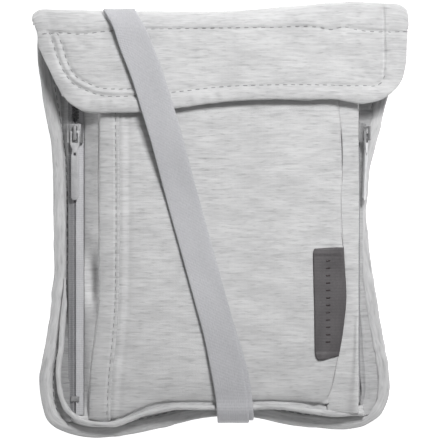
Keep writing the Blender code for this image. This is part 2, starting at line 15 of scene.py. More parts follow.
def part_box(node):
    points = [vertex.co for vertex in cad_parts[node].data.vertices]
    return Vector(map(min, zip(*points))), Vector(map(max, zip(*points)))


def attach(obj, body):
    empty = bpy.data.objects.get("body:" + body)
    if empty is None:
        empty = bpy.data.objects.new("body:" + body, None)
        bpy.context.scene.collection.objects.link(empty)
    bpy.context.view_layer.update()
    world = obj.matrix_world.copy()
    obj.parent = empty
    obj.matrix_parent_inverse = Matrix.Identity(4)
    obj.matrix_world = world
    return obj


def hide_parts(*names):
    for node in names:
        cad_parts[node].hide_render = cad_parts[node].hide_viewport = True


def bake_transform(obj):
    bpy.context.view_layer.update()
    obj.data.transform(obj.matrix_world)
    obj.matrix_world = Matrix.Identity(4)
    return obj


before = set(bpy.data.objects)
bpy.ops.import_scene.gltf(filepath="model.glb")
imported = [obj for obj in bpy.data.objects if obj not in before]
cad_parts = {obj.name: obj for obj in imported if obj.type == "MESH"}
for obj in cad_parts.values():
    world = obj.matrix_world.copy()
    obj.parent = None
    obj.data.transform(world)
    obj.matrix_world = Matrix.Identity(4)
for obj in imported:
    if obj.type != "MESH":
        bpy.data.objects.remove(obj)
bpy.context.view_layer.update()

MM = 0.001
FINE = 0.62             # spacing of a cloth's grid
CLOTH = 1.2             # thickness of the outer cloth
RAY_START = 0.1         # metres above or below the pouch, where rays begin
STEPS = 61              # cells of a noise table before it repeats


# ---------------------------------------------------------------- numbers

def smoothstep(t):
    t = np.clip(t, 0, 1)
    return t * t * (3 - 2 * t)


def curve(points):
    """A smooth function through (position, value) pairs, level beyond its ends."""
    where, value = (np.array(c, float) for c in zip(*sorted(points)))
    slope = np.gradient(value, where)

    def at(t):
        t = np.clip(t, where[0], where[-1])
        k = np.clip(np.searchsorted(where, t, side="right") - 1, 0, len(where) - 2)
        span = where[k + 1] - where[k]
        s = (t - where[k]) / span
        return ((2 * s**3 - 3 * s**2 + 1) * value[k] + (s**3 - 2 * s**2 + s) * span * slope[k]
                + (3 * s**2 - 2 * s**3) * value[k + 1] + (s**3 - s**2) * span * slope[k + 1])

    return at


def arc(path):
    """The length along a path up to each of its points."""
    return np.concatenate([[0], np.cumsum(np.linalg.norm(np.diff(path, axis=0), axis=1))])


def through(points, spacing):
    """Evenly spaced points along a smooth curve through the given points."""
    points = np.array(points, float)
    along = arc(points[:, :3])
    stations = np.linspace(0, along[-1], max(3, int(along[-1] / spacing) + 1))
    return np.stack([curve(zip(along, points[:, k]))(stations) for k in range(points.shape[1])],
                    axis=1)


def noise(x, y, size, seed):
    """Smooth seeded noise from -1 to 1, with features about size apart."""
    table = np.random.default_rng(seed).uniform(-1, 1, (STEPS, STEPS))
    u, v = np.asarray(x, float) / size, np.asarray(y, float) / size
    i, j = np.floor(u).astype(int), np.floor(v).astype(int)
    s, t = smoothstep(u - i), smoothstep(v - j)
    i, j, i2, j2 = i % STEPS, j % STEPS, (i + 1) % STEPS, (j + 1) % STEPS
    low = table[i, j] * (1 - s) + table[i2, j] * s
    high = table[i, j2] * (1 - s) + table[i2, j2] * s
    return low * (1 - t) + high * t


def ripple(along, size, seed, shift=0):
    """Noise along a line."""
    return noise(along, 0 * along + shift, size, seed)


def bell(away, width):
    return np.exp(-(away / width) ** 2)


def unit(vectors):
    return vectors / np.maximum(np.linalg.norm(vectors, axis=-1, keepdims=True), 1e-9)


# ---------------------------------------------------------------- reading the frame

def tree_of(thing):
    mesh = thing.data
    return BVHTree.FromPolygons([v.co for v in mesh.vertices], [p.vertices for p in mesh.polygons])


def corners(node):
    """The lowest and highest corner of a node's box."""
    return [np.array(corner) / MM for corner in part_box(node)]


def drop(tree, x, y):
    """Where a ray from above meets a surface, and the way it faces there; None past its edge."""
    start = Vector((x * MM, y * MM, RAY_START))
    spot, facing = tree.ray_cast(start, Vector((0, 0, -1)))[:2]
    return (np.array(spot) / MM, np.array(facing)) if spot else None


def section(names, axis, at):
    """The lowest and highest place across the axis where the nodes' edges pass that station."""
    found = []
    for name in names:
        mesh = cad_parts[name].data
        points = np.array([v.co for v in mesh.vertices]) / MM
        ends = np.array([e.vertices for e in mesh.edges])
        start, end = points[ends[:, 0]], points[ends[:, 1]]
        a, b = start[:, axis], end[:, axis]
        cut = (a - at) * (b - at) <= 0
        share = (at - a[cut]) / np.where(a[cut] == b[cut], 1, b[cut] - a[cut])
        other = 1 - axis
        found.extend(start[cut, other] + share * (end[cut, other] - start[cut, other]))
    return (min(found), max(found)) if found else None


def edge(names, axis, side, stations):
    """One side of the nodes' outline as a smooth function of the place along the axis."""
    sections = [(t, section(names, axis, t)) for t in stations]
    return curve([(t, ends[side]) for t, ends in sections if ends])


def height(names, xs, ys, degree=6, above=True):
    """A smooth height fitted to the upper (or under) face of some nodes."""
    trees = [tree_of(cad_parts[name]) for name in names]
    sense = 1 if above else -1
    hits = []
    for x in xs:
        for y in ys:
            start = Vector((x * MM, y * MM, sense * RAY_START))
            for tree in trees:
                hit = tree.ray_cast(start, Vector((0, 0, -sense)))[0]
                if hit:
                    hits.append((x, y, hit.z / MM))
    hits = np.array(hits)
    middle, reach = (hits.min(0) + hits.max(0)) / 2, np.maximum(np.ptp(hits, axis=0) / 2, 1)

    def terms(x, y):
        a, b = (x - middle[0]) / reach[0], (y - middle[1]) / reach[1]
        a, b = np.clip(a, -1.1, 1.1), np.clip(b, -1.1, 1.1)
        return np.stack([a**i * b**j for i in range(degree + 1) for j in range(degree + 1 - i)], -1)

    weights = np.linalg.lstsq(terms(hits[:, 0], hits[:, 1]), hits[:, 2], rcond=None)[0]
    return lambda x, y: terms(np.asarray(x, float), np.asarray(y, float)) @ weights


BODY = ("edge_binding",)
body_left = edge(BODY, 1, 0, (78, 66, 54, 42, 28, 14, 0, -14, -28, -40, -52, -62, -70, -78, -83))
body_right = edge(BODY, 1, 1, (78, 66, 54, 42, 32, 22, 12, 4, -8, -22, -36, -50, -62, -70, -76, -80))
body_bottom = edge(BODY, 0, 0, (-65, -59, -51, -42, -32, -20, -8, 4, 14, 24, 34, 46, 54, 60, 64))
PANEL = ("front_panel",)
panel_left = edge(PANEL, 1, 0, (66, 50, 30, 10, -10, -30, -45, -58, -70, -80))
panel_right = edge(PANEL, 1, 1, (66, 50, 38, 26, 10, -6, -20, -34, -46, -58, -68, -74))
panel_bottom = edge(PANEL, 0, 0, (-54, -48, -41, -34, -27, -18, -4, 8, 20, 31, 42))
band_right = edge(("left_trim_band",), 1, 1, (66, 40, 10, -20, -36, -50, -64, -80))
FLAP = ("flap_binding", "flap_fold")
flap_left = edge(FLAP, 1, 0, (86, 82, 76, 71, 66, 61, 56, 53, 51))
flap_right = edge(FLAP, 1, 1, (86, 82, 76, 71, 66, 61, 57, 54, 52))
flap_bottom = edge(FLAP, 0, 0, (-65, -62, -58, -52, -44, -34, -24, -14, -4, 8, 20, 34, 48, 60, 67, 70.5))
top_edge = edge(("flap_fold",), 0, 1, (-77, -60, -45, -25, 0, 23, 43, 55, 66, 77))
front_face = height(PANEL, np.linspace(-56, 52, 30), np.linspace(-82, 67, 38))
flap_face = height(("flap_panel", "flap_binding"), np.linspace(-76, 76, 39),
                   np.linspace(44, 77.5, 15), 5)
back_face = height(("back_panel",), np.linspace(-66, 66, 30), np.linspace(-80, 79, 36), 8,
                   above=False)


# ---------------------------------------------------------------- mesh tools

def link(name, data):
    thing = bpy.data.objects.new(name, data)
    bpy.context.scene.collection.objects.link(thing)
    return thing


def make(name, points, faces, look, uv=None):
    """A mesh object from points in millimetres; uv holds each point's place on the cloth."""
    mesh = bpy.data.meshes.new(name)
    mesh.from_pydata((np.asarray(points) * MM).tolist(), [], faces)
    if uv is not None:
        layer = mesh.uv_layers.new(name="cloth")
        corners = np.zeros(len(mesh.loops), int)
        mesh.loops.foreach_get("vertex_index", corners)
        layer.data.foreach_set("uv", (np.asarray(uv)[corners] * MM).ravel())
    mesh.polygons.foreach_set("use_smooth", [True] * len(mesh.polygons))
    mesh.materials.append(look)
    mesh.validate()
    return link(name, mesh)


def settle(thing, body, slot, *nodes):
    """Parents a piece to its body's empty when body is a name, else bakes its placement in; hides the
    nodes it stands for. slot is not used.
    """
    if isinstance(body, str):
        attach(thing, body)
    else:
        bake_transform(thing)
    if nodes:
        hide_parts(*nodes)
    return thing


def lengths(grid, axis):
    """How far along its row (1) or column (0) each grid point is."""
    steps = np.linalg.norm(np.diff(grid, axis=axis), axis=2)
    start = np.zeros_like(steps[:1] if axis == 0 else steps[:, :1])
    return np.concatenate([start, np.cumsum(steps, axis=axis)], axis=axis)


def normals(grid):
    return unit(np.cross(np.gradient(grid, axis=1), np.gradient(grid, axis=0)))


def rim_distance(grid):
    across, up = lengths(grid, 1), lengths(grid, 0)
    return np.minimum(np.minimum(across, across[:, -1:] - across), np.minimum(up, up[-1:] - up))


def cloth(name, grid, look, thickness=CLOTH, roll=1.2, uv=None):
    """Closed cloth from the grid of its upper face, rows bottom up, with its rim rolled round."""
    grid = np.asarray(grid, float)
    rows, columns = grid.shape[:2]
    facing = normals(grid)
    curl = np.sqrt(1 - (1 - np.clip(rim_distance(grid) / roll, 0, 1)) ** 2)[..., None]
    half = np.broadcast_to(np.asarray(thickness, float) / 2, grid.shape[:2])[..., None]
    middle = grid - facing * half
    top = middle + facing * half * curl
    under = middle - facing * half * curl
    if uv is None:
        uv = np.stack([lengths(grid, 1), lengths(grid, 0)], -1)
    index = np.arange(rows * columns).reshape(rows, columns)
    below = index.copy()
    inside = (rows - 2) * (columns - 2)
    below[1:-1, 1:-1] = rows * columns + np.arange(inside).reshape(rows - 2, columns - 2)

    def quads(k):
        return np.stack([k[:-1, :-1], k[:-1, 1:], k[1:, 1:], k[1:, :-1]], -1).reshape(-1, 4)

    faces = np.concatenate([quads(index), quads(below)[:, ::-1]]).tolist()
    points = np.concatenate([top.reshape(-1, 3), under[1:-1, 1:-1].reshape(-1, 3)])
    spread = np.concatenate([uv.reshape(-1, 2), uv[1:-1, 1:-1].reshape(-1, 2)])
    return make(name, points, faces, look, spread)


def laid(name, x, y, z, look, thickness, roll, shift=0):
    """Cloth over plan points, whose threads run straight up the pouch."""
    return cloth(name, np.stack([x, y, z], -1), look, thickness, roll, np.stack([x + shift, y], -1))


def tube(name, rings, look, uv=None):
    """A closed tube through rings of points; uv holds each ring point's place on the cloth."""
    rings = np.asarray(rings, float)
    count, sides = rings.shape[:2]
    index = np.arange(count * sides).reshape(count, sides)
    a, b = index, np.roll(index, -1, 1)
    faces = np.stack([a[:-1], b[:-1], b[1:], a[1:]], -1).reshape(-1, 4).tolist()
    faces += [index[0, ::-1].tolist(), index[-1].tolist()]
    if uv is None:
        around = lengths(np.concatenate([rings, rings[:, :1]], 1), 1)[:, :-1]
        along = np.broadcast_to(lengths(rings, 0).mean(1, keepdims=True), around.shape)
        uv = np.stack([along, around], -1)
    return make(name, rings.reshape(-1, 3), faces, look, uv.reshape(-1, 2))


def frames(path):
    """The sideways and upward directions at each point of a path."""
    run = unit(np.gradient(path, axis=0))
    side = unit(np.cross(run, (0, 0, 1)))
    return side, np.cross(side, run)


def fill(left, right, bottom, top, spacing=FINE):
    """Plan points between four edges, rows bottom up."""
    width, tall = right(0) - left(0), np.max(top(0) - bottom(0))
    u, v = np.meshgrid(np.linspace(0, 1, int(width / spacing)), np.linspace(0, 1, int(tall / spacing)))
    x = left(0) + width * u
    for _ in range(6):
        y = bottom(x) + (top(x) - bottom(x)) * v
        x = left(y) + (right(y) - left(y)) * u
    return x, y


def level(value):
    """A straight edge, or a level height, at one value."""
    return lambda t: np.full(np.shape(t), float(value)) if np.shape(t) else float(value)


class Seam:
    """A sewn line on the cloth, in plan, which presses a groove and puckers what is beside it."""

    def __init__(self, points, seed=1):
        self.path = through(points, 1.5)
        self.length = arc(self.path[:, :2])[-1]
        self.seed = seed

    def measure(self, x, y):
        """Distance from the line and place along it, for plan points."""
        best = np.full(np.shape(x), 1e9)
        along = np.zeros(np.shape(x))
        done = 0.0
        for (ax, ay), (bx, by) in zip(self.path[:-1, :2], self.path[1:, :2]):
            span = math.hypot(bx - ax, by - ay)
            t = np.clip(((x - ax) * (bx - ax) + (y - ay) * (by - ay)) / span**2, 0, 1)
            away = np.hypot(x - ax - t * (bx - ax), y - ay - t * (by - ay))
            nearer = away < best
            best = np.where(nearer, away, best)
            along = np.where(nearer, done + t * span, along)
            done += span
        return best, along

    def press(self, x, y, depth=0.6, width=1.0, pucker=0.25, reach=4.0, pitch=4.5):
        """The height that the line takes from the cloth: a groove, and puckers on both sides."""
        away, along = self.measure(x, y)
        ends = np.minimum(1, np.minimum(along, self.length - along) / 2 + 0.15)
        wave = noise(along, away * 0.6, pitch, self.seed)
        wave = wave + 0.5 * noise(along, away, pitch / 2, self.seed + 9)
        groove = bell(away, width)
        return ends * (-depth * groove + pucker * wave * (np.exp(-away / reach) * (1 - groove)))


def beads(name, places, look, radius=0.23, length=2.3):
    """Stitches: short closed capsules, each at (point, run, up)."""
    sides, rings = 6, ((-0.5, 0.3), (-0.42, 0.8), (-0.25, 1), (0.25, 1), (0.42, 0.8), (0.5, 0.3))
    points, faces = [], []
    for point, run, up in places:
        side = np.cross(run, up)
        base = len(points)
        for along, share in rings:
            dip = radius * 1.4 * (2 * along) ** 4
            for k in range(sides):
                turn = 2 * math.pi * k / sides
                points.append(point + run * along * length - up * dip
                              + (side * math.cos(turn) + up * math.sin(turn)) * radius * share)
        for ring in range(len(rings) - 1):
            for k in range(sides):
                a, b = base + ring * sides + k, base + ring * sides + (k + 1) % sides
                faces.append([a, b, b + sides, a + sides])
        faces.append([base + k for k in reversed(range(sides))])
        faces.append([base + (len(rings) - 1) * sides + k for k in range(sides)])
    points = np.array(points)
    return make(name, points, faces, look, points[:, :2])


def stitch(name, line, thing, body, pitch, slot="trim", length=2.2, radius=0.2, lift=0.0):
    """A row of stitches along a plan line, lying on a piece."""
    tree = tree_of(thing)
    path = through(line, pitch)
    run = unit(np.gradient(path, axis=0))
    places = []
    for (x, y), (dx, dy) in zip(path[:, :2], run[:, :2]):
        hit = drop(tree, x, y)
        if hit:
            spot, up = hit
            way = np.array([dx, dy, 0.0])
            places.append((spot + up * lift, unit(way - up * (way @ up)), up))
    settle(beads(name, places, THREAD, radius, length), body, slot)


# ---------------------------------------------------------------- materials

class Look:
    """A procedural material, built node by node."""

    def __init__(self, name):
        self.made = bpy.data.materials.new(name)
        self.made.use_nodes = True
        self.tree = self.made.node_tree
        self.shader = self.tree.nodes["Principled BSDF"]

    def add(self, kind, inputs=(), **settings):
        node = self.tree.nodes.new("ShaderNode" + kind)
        for key, value in settings.items():
            setattr(node, key, value)
        for key, value in dict(inputs).items():
            self.put(node, key, value)
        return node

    def put(self, node, key, value):
        if isinstance(value, bpy.types.NodeSocket):
            self.tree.links.new(value, node.inputs[key])
        else:
            node.inputs[key].default_value = value

    def cloth_place(self, scale, turn=0.0):
        """The place on the cloth, in metres times scale."""
        where = self.add("UVMap", uv_map="cloth").outputs["UV"]
        return self.add("Mapping", {"Vector": where, "Scale": (*scale, 1), "Rotation": (0, 0, turn)}
                        ).outputs["Vector"]

    def solid_place(self):
        return self.add("TexCoord").outputs["Object"]

    def grain(self, where, scale=1.0, detail=3.0, roughness=0.6):
        return self.add("TexNoise", {"Vector": where, "Scale": scale, "Detail": detail,
                                     "Roughness": roughness}).outputs["Fac"]

    def sum(self, *parts):
        """Adds sockets, each times its weight."""
        total = 0.0
        for socket, weight in parts:
            total = self.add("Math", {0: socket, 1: weight, 2: total},
                             operation="MULTIPLY_ADD").outputs[0]
        return total

    def wave(self, scale, axis):
        """A sine from -0.5 to 0.5 that repeats scale times in a metre along the cloth's axis."""
        place = self.add("SeparateXYZ", {0: self.cloth_place((1, 1))}).outputs[axis]
        turn = self.add("Math", {0: place, 1: 2 * math.pi * scale}, operation="MULTIPLY").outputs[0]
        sine = self.add("Math", {0: turn}, operation="SINE").outputs[0]
        return self.sum((sine, 0.5))

    def ranged(self, value, low, high, out_low=0, out_high=1):
        return self.add("MapRange", {"Value": value, "From Min": low, "From Max": high,
                                     "To Min": out_low, "To Max": out_high}).outputs["Result"]

    def colour(self, amount, dark, light):
        mixed = self.add("Mix", {"Factor": amount, 6: (*dark, 1), 7: (*light, 1)}, data_type="RGBA")
        self.put(self.shader, "Base Color", mixed.outputs[2])

    def finish(self, roughness, bump, distance, strength=1.0, **values):
        self.put(self.shader, "Roughness", roughness)
        relief = self.add("Bump", {"Height": bump, "Distance": distance, "Strength": strength})
        self.put(self.shader, "Normal", relief.outputs["Normal"])
        for key, value in values.items():
            self.put(self.shader, key.replace("_", " "), value)
        return self.made


def jersey(name, dark, light, sheen=0.25):
    """Heather jersey: sparse dark flecks and faint streaks of mixed yarn, mottling, a fine knit."""
    look = Look(name)
    streaks = look.grain(look.cloth_place((110, 950)), detail=2.0)
    flecks = look.grain(look.cloth_place((260, 1500), 0.03), detail=1.0)
    flecks = look.ranged(flecks, 0.57, 0.74)
    slubs = look.grain(look.cloth_place((75, 620), -0.02), detail=1.0)
    slubs = look.ranged(slubs, 0.60, 0.76)
    patches = look.grain(look.cloth_place((45, 110)), detail=3.0)
    blend = look.sum((streaks, 0.50), (patches, 0.50), (flecks, -0.17), (slubs, -0.16))
    look.colour(look.ranged(blend, 0.12, 0.62), dark, light)
    wales, courses = look.wave(1700, 0), look.wave(1500, 1)
    fuzz = look.grain(look.cloth_place((2600, 2600)), detail=2.0)
    rough = look.ranged(look.grain(look.cloth_place((90, 90))), 0.3, 0.7, 0.82, 0.95)
    knit = look.sum((wales, 0.12), (courses, 0.12), (fuzz, 0.9), (streaks, 0.3))
    return look.finish(rough, knit, 0.00016, 0.7, Sheen_Weight=sheen, Sheen_Roughness=0.5)


def webbing(name, dark, light):
    """Flat woven strap: transverse ribs between two firmer selvedges."""
    look = Look(name)
    ribs = look.wave(1650, 1)
    yarn = look.grain(look.cloth_place((2400, 700)), detail=2.0)
    patches = look.grain(look.cloth_place((60, 25)), detail=2.0)
    tone = look.sum((ribs, 0.18), (yarn, 0.45), (patches, 0.4))
    look.colour(look.ranged(tone, 0.2, 0.75), dark, light)
    warp = look.grain(look.cloth_place((2600, 160)), detail=1.0)
    relief = look.sum((ribs, 0.45), (warp, 0.5), (look.wave(1100, 0), 0.12))
    rough = look.ranged(yarn, 0.3, 0.7, 0.62, 0.8)
    return look.finish(rough, relief, 0.00016, 0.9, Sheen_Weight=0.1)


def woven(name, dark, light, count, relief, roughness, **values):
    """A plain woven cloth with count yarns in a metre."""
    look = Look(name)
    weave = look.sum((look.wave(count, 0), 0.5), (look.wave(count * 0.85, 1), 0.5))
    grain = look.grain(look.cloth_place((count * 0.6, count * 0.6)), detail=2.0)
    patches = look.grain(look.cloth_place((70, 70)), detail=3.0)
    tone = look.sum((weave, 0.3), (grain, 0.3), (patches, 0.4))
    look.colour(look.ranged(tone, 0.2, 0.7), dark, light)
    rough = look.ranged(patches, 0.3, 0.7, roughness - 0.08, roughness + 0.08)
    return look.finish(rough, look.sum((weave, 0.6), (grain, 0.6)), relief, 0.8, **values)


def pile(name, dark, light):
    """The hook and loop patches: a dense short pile."""
    look = Look(name)
    hairs = look.add("TexVoronoi", {"Vector": look.cloth_place((1, 1)), "Scale": 1600.0})
    hairs = hairs.outputs["Distance"]
    grain = look.grain(look.cloth_place((500, 500)))
    look.colour(look.ranged(look.sum((hairs, 0.7), (grain, 0.5)), 0.1, 0.8), light, dark)
    return look.finish(look.ranged(grain, 0.3, 0.7, 0.7, 0.95), hairs, 0.0004, 1.0, Sheen_Weight=0.2)


def moulded(name, dark, light, roughness, metallic, relief):
    """Zip hardware and coil: a smooth skin with faint flow marks and worn, brighter places."""
    look = Look(name)
    place = look.solid_place()
    broad = look.grain(place, 260.0)
    fine = look.grain(place, 2600.0, 2.0)
    look.colour(look.ranged(look.sum((broad, 0.7), (fine, 0.3)), 0.35, 0.65), dark, light)
    rough = look.ranged(fine, 0.3, 0.7, roughness - 0.07, roughness + 0.1)
    return look.finish(rough, fine, relief, 0.6, Metallic=metallic)


JERSEY = jersey("jersey_heather", (0.36, 0.36, 0.367), (0.68, 0.68, 0.683))
TRIM = jersey("jersey_trim", (0.34, 0.34, 0.347), (0.645, 0.645, 0.648))
# Darker copies of the jersey for the two rear gusset strips: painted shade where the flap and the zip
# hollows shade them.
PAINTED_SHADE_GUSSET = jersey("jersey_gusset_painted_shade", (0.17, 0.17, 0.176), (0.42, 0.42, 0.425))
PAINTED_SHADE_GUSSET_RIGHT = jersey("jersey_gusset_painted_shade_right", (0.26, 0.26, 0.266), (0.55, 0.55, 0.555))
STRAP = webbing("strap_webbing", (0.40, 0.40, 0.422), (0.65, 0.65, 0.672))
# The thread is darker than the cloth: its own colour plus painted shade for the shadow sunk into the
# stitch holes.
THREAD = woven("sewing_thread_painted_shade", (0.20, 0.20, 0.205), (0.40, 0.40, 0.405), 2400, 0.0001, 0.6)
LINING = woven("lining_coated", (0.20, 0.21, 0.225), (0.36, 0.37, 0.39), 2600, 0.00008, 0.45)
LABEL = woven("label_satin", (0.075, 0.07, 0.073), (0.155, 0.145, 0.15), 1900, 0.00012, 0.55)
MARK = woven("label_mark_ink", (0.02, 0.012, 0.014), (0.045, 0.03, 0.033), 1900, 0.00008, 0.5)
PILE = pile("hook_loop_pile", (0.25, 0.26, 0.28), (0.42, 0.43, 0.45))
COIL = moulded("zip_coil", (0.13, 0.13, 0.14), (0.24, 0.24, 0.25), 0.5, 0.0, 0.00004)
METAL = moulded("zip_metal", (0.20, 0.20, 0.205), (0.34, 0.34, 0.345), 0.42, 0.5, 0.00003)
PULL_METAL = moulded("zip_pull_metal", (0.40, 0.40, 0.41), (0.54, 0.54, 0.55), 0.40, 0.45, 0.00003)


# ---------------------------------------------------------------- camera, light and floor

def studio():
    """A camera square over the front, a soft lamp from the upper right and a pale floor."""
    reach, width, middle = 2.0, 0.1804, 0.011
    camera = bpy.data.cameras.new("camera")
    camera.sensor_width = 36
    camera.lens = camera.sensor_width * (reach - middle) / width
    camera.clip_end = 10
    eye = link("camera", camera)
    eye.location = (0, 0, reach)
    bpy.context.scene.camera = eye

    def lamp(name, place, size, power):
        light = bpy.data.lights.new(name, "AREA")
        light.shape = "DISK"
        light.size = size
        light.energy = power
        thing = link(name, light)
        thing.location = place
        thing.rotation_euler = (-Vector(place)).to_track_quat("-Z", "Y").to_euler()

    lamp("key_lamp", (0.16, 0.36, 0.70), 0.21, 5.4)
    lamp("fill_lamp", (0.3, -0.2, 1.3), 1.0, 1.0)
    world = bpy.data.worlds.new("studio")
    world.use_nodes = True
    sky = world.node_tree.nodes["Background"].inputs
    sky["Color"].default_value = (1, 1, 1, 1)
    sky["Strength"].default_value = 0.18
    bpy.context.scene.world = world
    bpy.context.scene.view_settings.view_transform = "Standard"

    look = Look("floor_paper")
    grain = look.grain(look.solid_place(), 900.0)
    look.colour(grain, (0.93, 0.93, 0.935), (0.97, 0.97, 0.97))
    look.put(look.shader, "Emission Color", (1, 1, 1, 1))
    look.put(look.shader, "Emission Strength", 0.85)
    paper = look.finish(look.ranged(grain, 0, 1, 0.8, 0.9), grain, 0.00002)
    reach, level_at = 1.5 / MM, -0.02
    square = [(x * reach, y * reach, level_at) for x, y in ((-1, -1), (1, -1), (1, 1), (-1, 1))]
    make("floor", square, [[0, 1, 2, 3]], paper)


studio()


# ---------------------------------------------------------------- the strap

STRAP_WIDTH = 13.0
STRAP_THICK = 0.95
LAYER_GAP = 0.6
HANK = [(0.0360, 0.0662, 0.0013), (0.0366, 0.0580, 0.0024), (0.0380, 0.0400, 0.0027),
        (0.0380, -0.0400, 0.0027), (0.0376, -0.0560, 0.0027), (0.0355, -0.0622, 0.0026),
        (0.0332, -0.0637, 0.0022), (0.0308, -0.0622, 0.0018), (0.0284, -0.0560, 0.0017),
        (0.0280, -0.0400, 0.0017), (0.0280, 0.0400, 0.0017), (0.0276, 0.0560, 0.0017),
        (0.0255, 0.0622, 0.0016), (0.0232, 0.0637, 0.0012), (0.0208, 0.0622, 0.0008),
        (0.0184, 0.0560, 0.0008), (0.0180, 0.0400, 0.0008), (0.0180, -0.0400, 0.0008),
        (0.0180, -0.0600, 0.0008)]
LEG_LEFT = [(-0.0178, -0.0664, 0.0009), (-0.0150, -0.0680, 0.0009), (-0.0070, -0.0715, 0.0009),
            (0.0010, -0.0740, 0.0009)]
LEG_RIGHT = [(0.0178, -0.0664, 0.0021), (0.0170, -0.0680, 0.0021), (0.0130, -0.0715, 0.0021),
             (0.0090, -0.0740, 0.0021)]
UNDER = [(0.0054, -0.0764, 0.0016), (0.0054, -0.0794, 0.0016), (0.0054, -0.0815, 0.0026),
         (0.0054, -0.0823, 0.0052), (0.0054, -0.0823, 0.0085), (0.0054, -0.0817, 0.0116),
         (0.0053, -0.0798, 0.0144), (0.0051, -0.0774, 0.0157)]
BAND = [(-0.0416, 0.0879, 0.0142), (-0.0408, 0.0850, 0.0184), (-0.0378, 0.0800, 0.0221),
        (-0.0339, 0.0700, 0.0241), (-0.0300, 0.0600, 0.0256), (-0.0262, 0.0480, 0.0265),
        (-0.0226, 0.0360, 0.0262), (-0.0162, 0.0120, 0.0221), (-0.0083, -0.0164, 0.0222),
        (-0.0045, -0.0303, 0.0220), (-0.0004, -0.0455, 0.0212), (0.0021, -0.0578, 0.0198),
        (0.0040, -0.0681, 0.0179), (0.0049, -0.0750, 0.0160)]
UPPER = [(-1, 0), (-0.985, 0.6), (-0.93, 0.95), (-0.85, 1), (-0.6, 0.95), (-0.3, 0.92), (0, 0.92),
         (0.3, 0.92), (0.6, 0.95), (0.85, 1), (0.93, 0.95), (0.985, 0.6), (1, 0)]
SECTION = UPPER + [(across, -tall) for across, tall in UPPER[-2:0:-1]]


def band_line():
    """The middle of the doubled band, from under the pouch to the top fold, with its directions."""
    path = through(np.array(UNDER + BAND[::-1]) / MM, 1.0)
    run = unit(np.gradient(path, axis=0))
    x, y = path[:, 0], path[:, 1]
    plan = unit(run[:, :2] + np.array([1e-6, 0]))
    square = np.maximum(smoothstep((y - 68) / 12), smoothstep((-66 - y) / 8))
    square = np.where(path[:, 2] < 14, np.maximum(square, (y < 0)), square)[:, None]
    right = np.stack([plan[:, 1], -plan[:, 0], 0 * x], 1)
    side = right * (1 - square) + np.array([1.05, 0, 0]) * square
    return path, side, unit(np.cross(side, run))


def strap():
    """The whole neck strap as one folded length: hank, leg, band up, fold, band down, leg, hank."""
    middle, side, out = (part[:-4] for part in band_line())
    middle = middle - out * 0.35 * smoothstep((middle[:, 1:2] + 78) / 8)
    slide = smoothstep((-38 - middle[:, 1]) / 26)[:, None] * np.array([1.9, 0, 0])
    outer = np.hstack([middle + out * LAYER_GAP, side])
    inner = np.hstack([middle - out * (LAYER_GAP - 0.05) + slide, side])[::-1]
    end, ahead = middle[-1], unit(middle[-1] - middle[-4])
    fold = [np.hstack([end + ahead * 0.5 + out[-1] * 0.35, side[-1]]),
            np.hstack([end + ahead * 0.8, side[-1]]),
            np.hstack([end + ahead * 0.5 - out[-1] * 0.35, side[-1]])]

    def hank(sense, leg):
        route = [(sense * x, y, z) for x, y, z in HANK] + leg
        path = through(np.array(route) / MM, 1.0)
        run = unit(np.gradient(path, axis=0))
        turned = np.stack([-run[:, 1], run[:, 0], 0 * run[:, 0]], 1)
        turned *= np.where(turned[:, :1] < 0, -1, 1)
        share = 0.45 * smoothstep((-66 - path[:, 1]) / 3)[:, None]
        return np.hstack([path, unit(turned * share + np.array([1.0, 0, 0]) * (1 - share))])

    line = np.vstack([hank(-1, LEG_LEFT), outer[1:], fold, inner[:-1], hank(1, LEG_RIGHT)[::-1]])
    line = through(line, 1.0)
    path, side = line[:, :3], unit(line[:, 3:])
    run = unit(np.gradient(path, axis=0))
    run = unit(run - side * (run * side).sum(1, keepdims=True) * 0.98)
    out = unit(np.cross(side, run))
    along = arc(path)
    cup = 0.16 * ripple(along, 34, 5)[:, None]
    sway = 0.10 * ripple(along, 23, 6, 7)[:, None]
    rings = np.stack([path + side * (across * STRAP_WIDTH / 2 + sway)
                      + out * (tall * STRAP_THICK / 2 + cup * (across**2 - 0.3))
                      for across, tall in SECTION], 1)
    rings[..., 2] = np.maximum(rings[..., 2], 0.05)
    crossing = np.array([across for across, tall in SECTION]) * STRAP_WIDTH / 2
    uv = np.stack(np.broadcast_arrays(crossing[None, :], along[:, None]), -1)
    thing = tube("neck_strap", rings, STRAP, uv)
    settle(thing, ("pouch", "strap_band", (0, 0, 0.0055), (0, 0, 0.011)), "webbing",
           "strap_front_band", "strap_turn", "strap_leg_left", "strap_leg_right",
           "strap_hank_left", "strap_hank_right")


def strap_tab(side):
    """A sewn end of the strap under the top of the back, with its box stitch."""
    low, high = corners(f"{side}_strap_tab")
    x, y = np.meshgrid(np.linspace(low[0] + 1, high[0] - 1, 24), np.linspace(low[1], high[1], 18))
    made = laid(f"{side}_strap_end", x, y, high[2] + 0.12 * noise(x, y, 3.0, 8), STRAP,
                high[2] - low[2], 0.6, -x.mean())
    settle(made, "pouch", "webbing", f"{side}_strap_tab")
    margin_x, margin_y, pitch = 2.4, 1.6, 1.7
    left, right = low[0] + margin_x, high[0] - margin_x
    bottom, top = low[1] + margin_y, high[1] - margin_y
    route = [(left, bottom), (right, bottom), (right, top), (left, top), (left, bottom), (right, top)]
    places = []
    for (ax, ay), (bx, by) in zip(route[:-1], route[1:]):
        count = max(2, int(math.hypot(bx - ax, by - ay) / pitch))
        run = unit(np.array([bx - ax, by - ay, 0.0]))
        for k in range(count):
            share = (k + 0.5) / count
            spot = np.array([ax + (bx - ax) * share, ay + (by - ay) * share, low[2] + 0.02])
            places.append((spot, run, np.array([0, 0, -1.0])))
    settle(beads(f"{side}_strap_end_stitches", places, THREAD, 0.18, 1.3), "pouch", "webbing")


strap()
for side in ("left", "right"):
    strap_tab(side)


# ---------------------------------------------------------------- the flap

